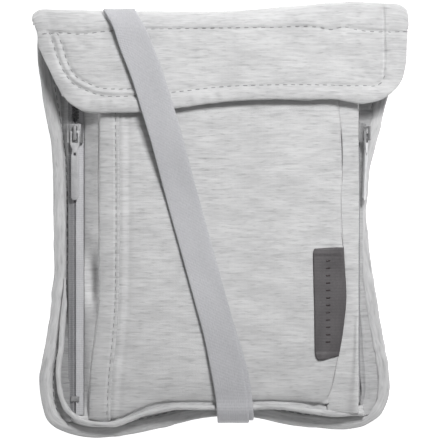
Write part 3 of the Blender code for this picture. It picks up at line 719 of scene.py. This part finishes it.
FLAP_SEAM = [(-72, 76.2), (-65, 76.6), (-57, 76.0), (-47.6, 77.0), (-38, 77.6), (-10, 78.2),
             (20, 78.6), (40.6, 78.7), (45.4, 77.8), (50.4, 79.0), (56.3, 77.7), (67.3, 77.0),
             (76, 77.2)]
FLAP_OUTER = [(-69.6, 76.2), (-68.4, 72.4), (-66.6, 67.0), (-63.3, 59.9), (-60.1, 55.8),
              (-55.5, 53.3), (-47.6, 50.7), (-39.8, 50.4), (-30, 51.0), (-16, 52.4), (0, 54.2), (18, 55.0),
              (40, 55.1), (58, 54.9), (65, 55.4), (67.2, 58.5)]
FLAP_INNER = [(-66.4, 76.0), (-64.6, 71.6), (-62.6, 65.4), (-58.9, 58.8), (-55.0, 56.4), (-49.2, 54.0),
              (-42, 53.4), (-34, 53.6)]
FLAP_FOLD_LINE = [(66.9, 60), (67.4, 68), (67.0, 76), (66.6, 92)]
STEP_AT = 67.2          # right of this the flap lies over its own folded side
HEM_WIDTH = 7.6
SEAM_Y = 78.0           # where the front of the flap meets its top fold
FLAP_STITCHES = {"top": (FLAP_SEAM, 3.4), "outer": (FLAP_OUTER, 3.2), "inner": (FLAP_INNER, 3.2)}
seam_top, seam_outer = Seam(FLAP_SEAM, 11), Seam(FLAP_OUTER, 12)
seam_inner, seam_fold = Seam(FLAP_INNER, 13), Seam(FLAP_FOLD_LINE, 14)
flap_rim = Seam([(flap_left(y), y) for y in (80, 72, 64, 56)]
                + [(x, flap_bottom(x)) for x in (-60, -52, -40, -24, -8, 8, 24, 40, 56, 67)]
                + [(flap_right(y), y) for y in (57, 64, 72, 80)], 15)


def flap_relief(x, y):
    """What seams, hem and handling add to the flap's smooth height."""
    hem, along = flap_rim.measure(x, y)
    swell = 0.95 * np.sin(math.pi * np.clip(hem / HEM_WIDTH, 0, 1)) ** 0.8
    gather = 0.25 * noise(along, hem * 0.5, 7.0, 21) + 0.45 * noise(along, hem * 0.3, 2.8, 26)
    near_outer, near_inner = seam_outer.measure(x, y)[0], seam_inner.measure(x, y)[0]
    ridge = 0.55 * np.exp(-((near_outer - 1.5) ** 2 + (near_inner - 1.5) ** 2) / 1.6)
    soft = 0.42 * noise(x, y, 24, 22) + 0.22 * noise(x, y * 1.3, 10, 23) + 0.08 * noise(x, y, 4, 24)
    folds = seam_top.press(x, y, 0.95, 0.8, 0.75, 4.5, 4.2)
    folds = folds + seam_outer.press(x, y, 0.8, 0.8, 0.40, 3.2, 4.0)
    folds = folds + seam_inner.press(x, y, 0.6, 0.7, 0.25, 2.5, 4.0)
    folds = folds + seam_fold.press(x, y, 1.1, 0.5, 0.25, 3)
    beyond = x - STEP_AT
    step = smoothstep(beyond / 0.6) * np.exp(-np.maximum(beyond, 0) / 4)
    folds = folds + 2.1 * step * smoothstep((y - 57) / 4)
    tuck = bell(x - 72, 4) * bell(y - 70, 11)
    folds = folds + 0.5 * tuck * noise(x + y * 0.7, (x - y) * 0.25, 2.4, 27)
    corner = np.exp(-((x - 64) ** 2 + (y - 60) ** 2) / 50) * noise(x + y, (x - y) * 0.35, 2.6, 25)
    return swell * (1 + gather) + ridge + soft + folds + 0.55 * corner


def wavy(side, amount, pitch, seed):
    """An edge that wanders a little to each side."""
    return lambda t: side(t) + amount * ripple(np.asarray(t, float), pitch, seed, 2.5)


def top_fold(bound, across):
    """Rows of points over the top fold, from the top of the flap's front to the foot of the back.

    bound is the top row of the front in plan, and across is each column's share of the width.
    """
    back_low, back_high = corners("rear_fold")
    foot_y, foot_z, shoulder = 80.3, back_low[2] + 0.1, back_high[2] + 1.2
    rows = []
    for turn in np.radians(np.linspace(180, 0, 58)[1:]):
        if turn > math.pi / 2:
            start_y, left, right = SEAM_Y, flap_left(83), flap_right(83)
            flat = left + (right - left) * across
            share = smoothstep((math.pi - turn) / 0.9)
            x = bound * (1 - share) + flat * share
            tall = (flap_face(x, np.full_like(x, 77.4)) - shoulder) * -math.cos(turn)
        else:
            start_y = foot_y
            x = back_low[0] + (back_high[0] - back_low[0]) * across
            tall = (shoulder - foot_z) * -math.cos(turn)
        corner = 3.2 * (np.maximum(0, np.abs(x) - 72.5) / 5.2) ** 2
        y = start_y + (top_edge(x) - corner - start_y) * math.sin(turn) ** 0.9
        fade = smoothstep((turn - 0.6) / 1.2)
        puff = fade * flap_relief(x, np.full_like(x, SEAM_Y) + 9 * math.sin(turn) ** 0.7)
        z = shoulder + tall + puff * max(0, -math.cos(turn))
        y = y + fade * 0.35 * ripple(x, 9, 34, turn * 3) * math.sin(turn)
        rows.append(np.stack([x, y, z], -1))
    return np.array(rows)


def flap_cover():
    """One padded piece from the foot of the back, over the top fold and down the front."""
    x, y = fill(wavy(flap_left, 0.35, 8, 31), wavy(flap_right, 0.35, 8, 32),
                wavy(flap_bottom, 0.35, 9, 33), level(SEAM_Y), 0.55)
    front = np.stack([x, y, flap_face(x, y) + flap_relief(x, y)], -1)
    fold = top_fold(x[-1], np.linspace(0, 1, x.shape[1]))
    grid = np.concatenate([front, fold])
    hem = np.concatenate([flap_rim.measure(x, y)[0], np.full(fold.shape[:2], 20.0)])
    thickness = 1.35 + 1.5 * (1 - smoothstep((hem - 4) / 5))
    down = -lengths(grid, 0)
    uv = np.stack([grid[..., 0], down.mean(1, keepdims=True) * np.ones_like(down)], -1)
    uv[: len(x), :, 1] = y - SEAM_Y + uv[len(x) - 1, 0, 1]
    made = cloth("flap_cover", grid, JERSEY, thickness, 1.7, uv)
    turn_at = ("pouch", "flap", (0, 0.0896, 0.006), (0, 0.0870, 0.0125))
    settle(made, turn_at, "jersey", "rear_fold", "flap_fold", "flap_panel", "flap_binding")
    for name, (line, gap) in FLAP_STITCHES.items():
        stitch(f"flap_{name}_stitches", line, made, "flap", gap)


def inner_cloth(name, node, face, below, thickness, look, body, slot, spacing=1.6):
    """A lining that follows the underside of the cloth above it."""
    low, high = corners(node)
    ys = np.linspace(low[1] + 0.5, high[1] - 0.5, 9)
    xs = np.linspace(low[0] + 9, high[0] - 9, 9)
    x, y = fill(edge((node,), 1, 0, ys), edge((node,), 1, 1, ys), edge((node,), 0, 0, xs),
                level(high[1] - 0.2), spacing)
    made = laid(name, x, y, face(x, y) - below, look, thickness, 0.4)
    return settle(made, body, slot, node)


def flap_underside(x, y):
    return flap_face(x, y) + flap_relief(x, y) * 0.6


flap_cover()
inner_cloth("flap_lining_cloth", "flap_lining", flap_underside, 1.95, 0.5, LINING, "flap", "lining")
inner_cloth("hook_pile", "hook_patch", flap_underside, 2.55, 0.7, PILE, "flap", "patch", 0.8)


# ---------------------------------------------------------------- the front

panel_edge = Seam([(panel_right(y), y) for y in (68, 50, 34, 18, 0, -20, -36, -50, -60, -68, -73)]
                  + [(x, panel_bottom(x)) for x in (41, 32, 24, 10, -6, -20, -28, -34, -41, -48, -54)], 41)
panel_side = Seam([(panel_left(y), y) for y in (68, 50, 20, -10, -30, -45, -58, -70, -80)], 42)


def front_relief(x, y):
    """What the seams and the soft filling add to the front's smooth height."""
    away, along = panel_edge.measure(x, y)
    side_away = panel_side.measure(x, y)[0]
    rounded = -1.3 * np.exp(-away / 1.6) - 0.8 * np.exp(-side_away / 1.5)
    pull = 0.42 * noise(along, away * 0.25, 7.5, 44) * np.exp(-away / 9) * (1 - np.exp(-away / 1.5))
    ridge = 0.5 * bell(x - band_right(y) - 1.5, 1.1)
    groove = -0.45 * bell(x - band_right(y) - 3.6, 1.2)
    soft = 0.75 * noise(x, y * 0.7, 34, 45) + 0.30 * noise(x * 1.2, y * 0.6, 15, 46)
    soft = soft + 0.07 * noise(x, y, 5, 47)
    drape = 0.5 * bell(x - 41, 7) * bell(y + 62, 14) * np.sin((x - 0.25 * y) * 0.8)
    return rounded + pull + ridge + groove + soft + drape


def front_surface(x, y):
    return front_face(x, y) + front_relief(x, y)


def front_panel():
    x, y = fill(wavy(panel_left, 0.2, 9, 51), wavy(panel_right, 0.3, 8, 52),
                wavy(panel_bottom, 0.3, 8, 53), level(68.6), 0.68)
    made = laid("front_panel_cloth", x, y, front_surface(x, y), JERSEY, CLOTH, 1.4)
    settle(made, "pouch", "jersey", "front_panel")


def trim_band():
    """The facing strip beside the left zip, with its topstitched edge."""
    top = corners("left_trim_band")[1][1]
    x, y = fill(wavy(lambda t: panel_left(t) + 0.2, 0.2, 7, 54), wavy(band_right, 0.2, 7, 55),
                lambda t: panel_bottom(t) - 0.3, level(top), 0.5)
    inset = 1.4
    inner = band_right(y) - x
    outer = x - panel_left(y)
    lift = 1.0 + 0.35 * noise(y, x * 0.4, 9, 56) * np.clip(inner / 3, 0, 1)
    seam = -0.55 * bell(inner - inset, 0.55)
    seam = seam + 0.22 * noise(y, x * 0.2, 3.6, 57) * np.exp(-inner / 3)
    roll_down = -1.6 * np.exp(-outer / 1.3)
    z = front_face(x, y) + front_relief(x, y) * 0.6 + lift + seam + roll_down
    made = laid("left_facing_band", x, y, z, TRIM, 0.85, 0.9, 31)
    settle(made, "pouch", "trim", "left_trim_band")
    line = [(band_right(t) - inset, t) for t in (65, 40, 10, -20, -36, -50, -64, -79)]
    stitch("left_band_stitches", line, made, "pouch", 3.0, radius=0.19, lift=-0.02)


def side_label():
    """The woven side label, with turned ends and a column of plain bars in place of lettering."""
    low, high = corners("side_label")
    tall = high[1] - low[1]

    def left(t):
        inside = np.maximum(0, np.minimum(high[1] - t, t - low[1]))
        return low[0] + (high[1] - t) / tall + 1.3 * np.exp(-inside / 0.9)

    x, y = fill(left, lambda t: panel_right(t) + 0.1,
                lambda t: low[1] + 1.6 * smoothstep((t - low[0] - 3) / 9),
                lambda t: high[1] - 0.5 + 0.5 * smoothstep((t - low[0]) / 9), 0.32)
    ends = np.minimum(y - low[1], high[1] - y)
    lift = 0.75 + 0.30 * smoothstep((3.4 - ends) / 0.7) + 0.22 * noise(x, y, 8, 61)
    lift = lift - 0.35 * np.exp(-(panel_right(y) - x) / 1.2)
    made = laid("side_label_cloth", x, y, front_surface(x, y) + lift, LABEL, 0.75, 0.7)
    settle(made, "pouch", "label", "side_label")
    tree = tree_of(made)
    places = []
    for at in np.linspace(low[1] + 7.5, high[1] - 5.5, 12):
        spot, up = drop(tree, low[0] + 6.3, at)
        places.append((spot - up * 0.12, unit(np.cross([0, 1.0, 0.25], up)), up))
    settle(beads("side_label_bars", places, MARK, 0.42, 2.6), "pouch", "label")


def pocket_hem():
    """The turned hem along the top of the front panel."""
    low, high = corners("pocket_hem")
    xs = np.linspace(low[0] + 0.3, high[0] - 0.3, 150)
    at = (low[1] + high[1]) / 2
    z = front_face(xs, np.full_like(xs, 68.0)) - 0.4
    path = np.stack([xs, np.full_like(xs, at), z], -1)
    side, rise = frames(path)
    rings = []
    for turn in np.linspace(0, 2 * math.pi, 14, endpoint=False):
        wide = 1.25 + 0.12 * ripple(xs, 4, 62, turn)[:, None]
        rings.append(path + side * wide * math.cos(turn) + rise * 1.05 * math.sin(turn))
    settle(tube("pocket_hem_roll", np.stack(rings, 1), TRIM), "pouch", "trim", "pocket_hem")


def loop_patch():
    """The loop side of the closure, sewn along its lower edge."""
    low, high = corners("loop_patch")
    x, y = fill(level(low[0]), level(high[0]), level(low[1]), level(high[1]), 0.8)
    made = laid("loop_pile", x, y, front_surface(x, y) + 0.75, PILE, 0.7, 0.4)
    settle(made, "pouch", "patch", "loop_patch")
    inset = 1.2
    line = [(low[0] + inset, low[1] + inset), (high[0] - inset, low[1] + inset)]
    stitch("loop_pile_stitches", line, made, "pouch", 2.2, "patch", 1.6, 0.15)


def inside_sheets():
    """The two blocking linings and the divider between the compartments."""
    rear_face = height(("rear_rfid_lining",), np.linspace(-46, 45, 16), np.linspace(-69, 73, 20))
    divider_top = corners("divider")[1][2]
    for name, node, face, below in (
            ("front_blocking_cloth", "front_rfid_lining", front_surface, 1.75),
            ("rear_blocking_cloth", "rear_rfid_lining", rear_face, 0.0),
            ("divider_cloth", "divider", lambda x, y: divider_top + 0.25 * noise(x, y, 18, 63), 0.0)):
        made = inner_cloth(name, node, face, below, 0.5, LINING, "pouch", "lining", 2.0)


front_panel()
trim_band()
side_label()
pocket_hem()
loop_patch()
inside_sheets()


# ---------------------------------------------------------------- the back and the edges

def back_panel():
    """The back, arched over the folded strap, with a soft rumple and pressed edges."""
    low, high = corners("back_panel")
    ys = (78, 66, 50, 30, 10, -10, -30, -50, -64, -74)
    xs = (-60, -50, -40, -28, -16, -4, 6, 16, 28, 40, 50)
    node = ("back_panel",)
    x, y = fill(edge(node, 1, 0, ys), edge(node, 1, 1, ys), edge(node, 0, 0, xs),
                level(high[1] - 0.2), 1.1)
    inside = np.clip(rim_distance(np.stack([x, y, 0 * x], -1)) / 8, 0, 1)
    rumple = inside * (0.22 * noise(x, y, 13, 71) + 0.10 * noise(x, y, 5, 72))
    z = np.maximum(back_face(x, y) + rumple, low[2] + 0.02) + 1.0
    made = laid("back_panel_cloth", x, y, z, JERSEY, 1.0, 0.8)
    settle(made, "pouch", "jersey", "back_panel")


def edge_path(inset, spacing):
    """The body's outline from the upper left round the bottom to the upper right, moved inwards."""
    down = (78, 66, 54, 42, 28, 14, 0, -14, -28, -40, -52, -62, -70, -77)
    over = (-65, -59, -51, -42, -32, -20, -8, 4, 14, 24, 34, 46, 54, 60)
    back_up = (-80, -76, -70, -62, -50, -36, -22, -8, 4, 12, 22, 32, 42, 54, 66, 78)
    outline = [(float(body_left(y)), y) for y in down] + [(-71.2, -82.0)]
    outline += [(x, float(body_bottom(x))) for x in over]
    outline += [(float(body_right(y)), y) for y in back_up]
    plan = through(outline, spacing)
    run = unit(np.gradient(plan, axis=0))
    return plan + np.stack([-run[:, 1], run[:, 0]], 1) * inset


def edge_binding():
    """The bound edge: a soft roll, pressed by its stitching and puckered between the stitches."""
    half_width, half_height = 3.5, 2.0
    plan = edge_path(half_width, 0.8)
    tree = tree_of(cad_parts["edge_binding"])
    hits = [drop(tree, x, y) for x, y in plan]
    tops = np.array([hit[0][2] if hit else np.nan for hit in hits])
    known = ~np.isnan(tops)
    tops = np.interp(np.arange(len(tops)), np.arange(len(tops))[known], tops[known])
    tops = np.convolve(np.pad(tops, 6, mode="edge"), np.ones(13) / 13, "valid")
    path = np.column_stack([plan, tops - half_height])
    side, rise = frames(path)
    along = arc(path)
    path = path + side * (0.28 * ripple(along, 9, 73))[:, None]
    groove_at, rings = 2.15, []
    for turn in np.linspace(0, 2 * math.pi, 30, endpoint=False):
        pressed = 0.95 * bell(turn - groove_at, 0.22)
        near = bell(turn - groove_at, 0.9)
        gather = 0.50 * ripple(along, 3.4, 74, turn * 0.8)
        gather = gather + 0.2 * ripple(along, 7, 75, turn)
        reach = (1 - pressed / 2.2 + gather * (0.25 + 0.75 * near) / 3)[:, None]
        outward = math.copysign(abs(math.cos(turn)) ** 0.8, math.cos(turn))
        upward = math.copysign(min(abs(math.sin(turn)) ** 0.7, 1), math.sin(turn))
        rings.append(path + side * half_width * outward * reach + rise * half_height * upward
                     * (reach if turn < math.pi else 1))
    made = tube("edge_binding_cloth", np.stack(rings, 1), TRIM)
    settle(made, "pouch", "trim", "edge_binding")
    line = edge_path(half_width + 2.1, 2.0)
    stitch("edge_binding_stitches", line[4:-4], made, "pouch", 3.3)
    return path


def welt_line():
    """The welt's middle, read from its node: down the left side, then along the bottom."""
    node = ("bottom_welt",)
    across = (-61, -56, -50, -44, -38, -32, -26, -18, -8, 4, 14, 24, 32, 40, 48, 54, 59)
    plan = [(sum(section(node, 1, y)) / 2, y) for y in (-53, -58, -64, -69, -73)]
    plan += [(x, sum(section(node, 0, x)) / 2) for x in across]
    tree = tree_of(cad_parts["bottom_welt"])
    top_x = plan[0][0]
    line = [(top_x + 1.6, -24.0, 4.6), (top_x + 0.9, -36.0, 5.8), (top_x + 0.3, -46.0, 6.6)]
    for x, y in plan:
        hit = drop(tree, x, y)
        if hit:
            line.append((x, y, hit[0][2] - 1.1))
    return line


def bottom_welt(line):
    """The corded welt that outlines the foot of the front."""
    spacing = 0.7
    path = through(line, spacing)
    along = np.arange(len(path)) * spacing
    side, rise = frames(path)
    path = path + side * (0.25 * ripple(along, 8, 76))[:, None]
    rings = []
    for turn in np.linspace(0, 2 * math.pi, 16, endpoint=False):
        radius = 1.15 + 0.16 * ripple(along, 3.6, 77, turn)
        radius = radius + 0.14 * ripple(along, 11, 78)
        radius = (radius * (0.35 + 0.65 * smoothstep(along / 14)))[:, None]
        rings.append(path + (side * math.cos(turn) + rise * math.sin(turn)) * radius)
    settle(tube("bottom_welt_roll", np.stack(rings, 1), TRIM), "pouch", "trim", "bottom_welt")


def bottom_gusset(line, binding):
    """The boxed bottom: from under the front panel, behind the welt and down to the binding."""
    welt = through(line[8:], 0.7)
    x = welt[:, 0]
    foot = x + (x - 5.4) * 0.05
    bound = binding[(binding[:, 1] < -60)]
    order = np.argsort(bound[:, 0])
    foot_y = np.interp(foot, bound[order, 0], bound[order, 1]) + 2.5
    foot_z = np.interp(foot, bound[order, 0], bound[order, 2]) + 1.0
    under = np.where(x < 43, panel_bottom(x) + 1.3, welt[:, 1] + 3.2)
    top = np.stack([x, np.maximum(welt[:, 1] + 1.4, under), welt[:, 2] - 0.5], -1)
    mid = np.stack([x, welt[:, 1] - 0.8, welt[:, 2] - 1.2], -1)
    low = np.stack([foot, np.minimum(foot_y, mid[:, 1] - 0.6), foot_z], -1)
    share = np.linspace(0, 1, 7)[:, None, None]
    upper = top * (1 - share) + mid * share
    lower = mid * (1 - share) + low * share
    grid = np.concatenate([upper, lower[1:]])[::-1]
    rows = np.linspace(0, 1, len(grid))[:, None]
    fold = noise(x[None, :], rows * 9, 6.5, 79) * np.sin(math.pi * rows)
    grid = grid + np.stack([0 * fold, -0.45 * fold, 0.75 * fold], -1)
    fine = np.linspace(0, len(grid) - 1, 26)
    grid = np.stack([[np.interp(fine, np.arange(len(grid)), grid[:, j, k]) for k in range(3)]
                     for j in range(grid.shape[1])]).transpose(2, 0, 1)
    made = cloth("bottom_gusset_cloth", grid, JERSEY, 0.8, 0.6)
    settle(made, "pouch", "jersey", "bottom_gusset")


back_panel()
binding_line = edge_binding()
welt = welt_line()
bottom_welt(welt)
bottom_gusset(welt, binding_line)


# ---------------------------------------------------------------- side gussets and zips

def gusset(side, part, left, right, sag, seed, start, ridge=(0.5, 0.0), lean=1.0, look=JERSEY):
    """A soft strip beside a zip between two rails, each a pair of functions of y for x and z."""
    node = f"{side}_gusset_{part}"
    ys, columns = np.arange(start, 66, FINE), 24
    (lx, lz), (rx, rz) = ([run(ys)[:, None] for run in rail] for rail in (left, right))
    t = np.linspace(0, 1, columns)[None, :]
    y = np.broadcast_to(ys[:, None], (len(ys), columns))
    x = lx * (1 - t) + rx * t
    z = lz * (1 - t) + rz * t
    free = np.sin(math.pi * t**lean) ** 0.8
    crease = 0.55 * noise(y, t * 2.2, 7, seed) + 0.9 * noise(y, t * 0.8 + 3, 21, seed + 1)
    small = 0.16 * noise(y, t * 6, 3.2, seed + 2)
    z = z + free * (sag(ys)[:, None] + crease * 0.8 + small)
    z = z + ridge[1] * bell(t - ridge[0], 0.12) * smoothstep((-34 - y) / 10)
    x = x + free * 0.35 * noise(y, t * 1.2 + 5, 9, seed + 3)
    grid = np.stack([x, y, z], -1)
    uv = np.stack([lengths(grid, 1) + seed, y], -1)
    settle(cloth(node + "_cloth", grid, look, 0.8, 0.7, uv), "pouch", "jersey", node)


def dip(y, centre, reach, depth):
    """How far a strip sags near one place."""
    return -depth * bell(y - centre, reach)


def side_gussets():
    """Front and rear strips beside each zip; the rails clear the sliders all along their run."""
    def under_panel(side, sense):
        return (lambda y: side(y) + sense * 0.6,
                lambda y: front_face(side(y) + sense, y) - 1.6)

    def slot(y):
        opened = 1.1 * smoothstep((-36 - y) / 30) * smoothstep((y + 79) / 8)
        return 56.6 + opened * (1 + 0.5 * ripple(y, 7, 93))

    gusset("left", "front", (level(-56.0), level(7.6)), under_panel(panel_left, 1),
           lambda y: 0.2 + dip(y, -24, 11, 6.5) + dip(y, 52, 12, 3.0), 81, -81.5, lean=1.6)
    # The rear strips wear the darker jersey: painted shade under the flap.
    gusset("left", "rear", (lambda y: body_left(y) + 5.6, level(2.9)), (level(-61.5), level(7.3)),
           lambda y: 0.4 + dip(y, 12, 12, 1.4) + dip(y, 58, 16, 1.9), 84, -83.0, look=PAINTED_SHADE_GUSSET)
    gusset("right", "front", under_panel(panel_right, -1),
           (level(57.0), lambda y: 13.6 + dip(y, -86, 9, 7.0)),
           lambda y: 0.5 + dip(y, -60, 12, 1.4), 87, -79.5, (0.86, 1.3))
    # The right rear strip wears a darker jersey too: painted shade under the flap.
    gusset("right", "rear", (slot, level(5.2)),
           (lambda y: np.maximum(body_right(y) - 4.6, 59.2), level(3.6)),
           lambda y: 0.5 + dip(y, 50, 16, 1.5), 90, -80.5, (0.3, 1.0), look=PAINTED_SHADE_GUSSET_RIGHT)


WALL_LEAN = math.radians(20)
SLIDER_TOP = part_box("left_slider")[1].y / MM
ZIP_WAYS = {"left": np.array([[1.0, 0, 0], [0, 0, 1.0]]),
            "right": np.array([[-math.sin(WALL_LEAN), 0, math.cos(WALL_LEAN)],
                               [math.cos(WALL_LEAN), 0, math.sin(WALL_LEAN)]])}
TAPE = woven("zip_tape", (0.44, 0.44, 0.455), (0.63, 0.63, 0.645), 1500, 0.00014, 0.8)
# A darker copy of the zip tape: painted shade for the hollows beside the zips.
PAINTED_SHADE_TAPE = woven("zip_tape_painted_shade", (0.22, 0.22, 0.23), (0.38, 0.38, 0.39), 1500, 0.00014, 0.8)


def zip_frame(side):
    """The zip's middle at the foot of its chain, with its across and up directions."""
    low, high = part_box(f"{side}_zip_chain")
    middle = np.array((low + high) / 2) / MM
    across, up = ZIP_WAYS[side]
    return middle - up * 0.72, across, up, low.y / MM, high.y / MM


def zip_fastener(side):
    """Tapes, coil teeth, stop, slider and pull of one zip."""
    foot, across, up, start, end = zip_frame(side)
    sense = 1 if side == "left" else -1
    pitch = 0.62
    places = []
    for k in range(int((end - start) / pitch)):
        hand = 1 if k % 2 else -1
        y = start + 0.4 + k * pitch
        open_here = smoothstep((y - SLIDER_TOP) / 1.5)
        centre = foot + across * (0.42 + 0.5 * open_here) * hand + up * (0.35 + 0.4 * open_here)
        centre[1] = y
        places.append((centre, across * hand, up))
    settle(beads(f"{side}_zip_teeth", places, COIL, 0.32, 1.5), "pouch", "coil", f"{side}_zip_chain")

    for part, near, far in (("inner", 0.12, 3.9), ("outer", 0.12, 2.9)):
        hand = sense if part == "inner" else -sense
        ys = np.arange(start - (8.5 if side == "left" else 3.0), end + 1.6, 0.6)
        t = near + (far - near) * np.linspace(0, 1, 26)[None, :] ** 1.3
        y = np.broadcast_to(ys[:, None], (len(ys), t.shape[1]))
        mound = 1.85 * bell(t, 1.6) - 0.9 * np.exp(-((t - near) / 0.32))
        parted = smoothstep((y - SLIDER_TOP) / 2.5)
        away = t + parted * 1.1 * np.exp(-t / 1.5)
        tall = -0.35 + 0.12 * noise(y, t, 5, 94) + mound * (1 - 0.55 * parted)
        grid = foot + across * (away * hand)[..., None] + up * tall[..., None]
        grid[..., 1] = y
        if hand < 0:
            grid = grid[:, ::-1]
        uv = np.stack([np.broadcast_to(t * hand, y.shape)[:, ::hand], y], -1)
        # Every tape but the left inner one takes the darker copy: painted shade.
        look = TAPE if (side, part) == ("left", "inner") else PAINTED_SHADE_TAPE
        node = f"{side}_zip_tape_{part}"
        settle(cloth(node + "_weave", grid, look, 0.5, 0.3, uv), "pouch", "trim", node)
    refine(f"{side}_zip_stop", f"{side}_zip_end_stop", "pouch", 0.25)
    refine(f"{side}_slider", f"{side}_slider_body", f"{side}_slider", 0.35)
    refine(f"{side}_pull", f"{side}_pull_tab", f"{side}_pull", 0.22, PULL_METAL)


def refine(node, name, body, width, look=METAL):
    """A cast metal piece: the node's own shape with its edges rounded off."""
    work = bmesh.new()
    work.from_mesh(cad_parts[node].data)
    bmesh.ops.remove_doubles(work, verts=work.verts, dist=1e-6)
    bmesh.ops.dissolve_limit(work, angle_limit=math.radians(2), verts=work.verts, edges=work.edges)
    sharp = [e for e in work.edges
             if len(e.link_faces) == 2 and e.calc_face_angle() > math.radians(25)]
    bmesh.ops.bevel(work, geom=sharp, offset=width * MM, segments=3, profile=0.6, affect="EDGES",
                    clamp_overlap=True)
    bmesh.ops.triangulate(work, faces=work.faces)
    mesh = bpy.data.meshes.new(name)
    work.to_mesh(mesh)
    work.free()
    mesh.polygons.foreach_set("use_smooth", [True] * len(mesh.polygons))
    mesh.set_sharp_from_angle(angle=math.radians(38))
    mesh.materials.append(look)
    settle(link(name, mesh), body, "metal", node)


side_gussets()
for side in ("left", "right"):
    zip_fastener(side)
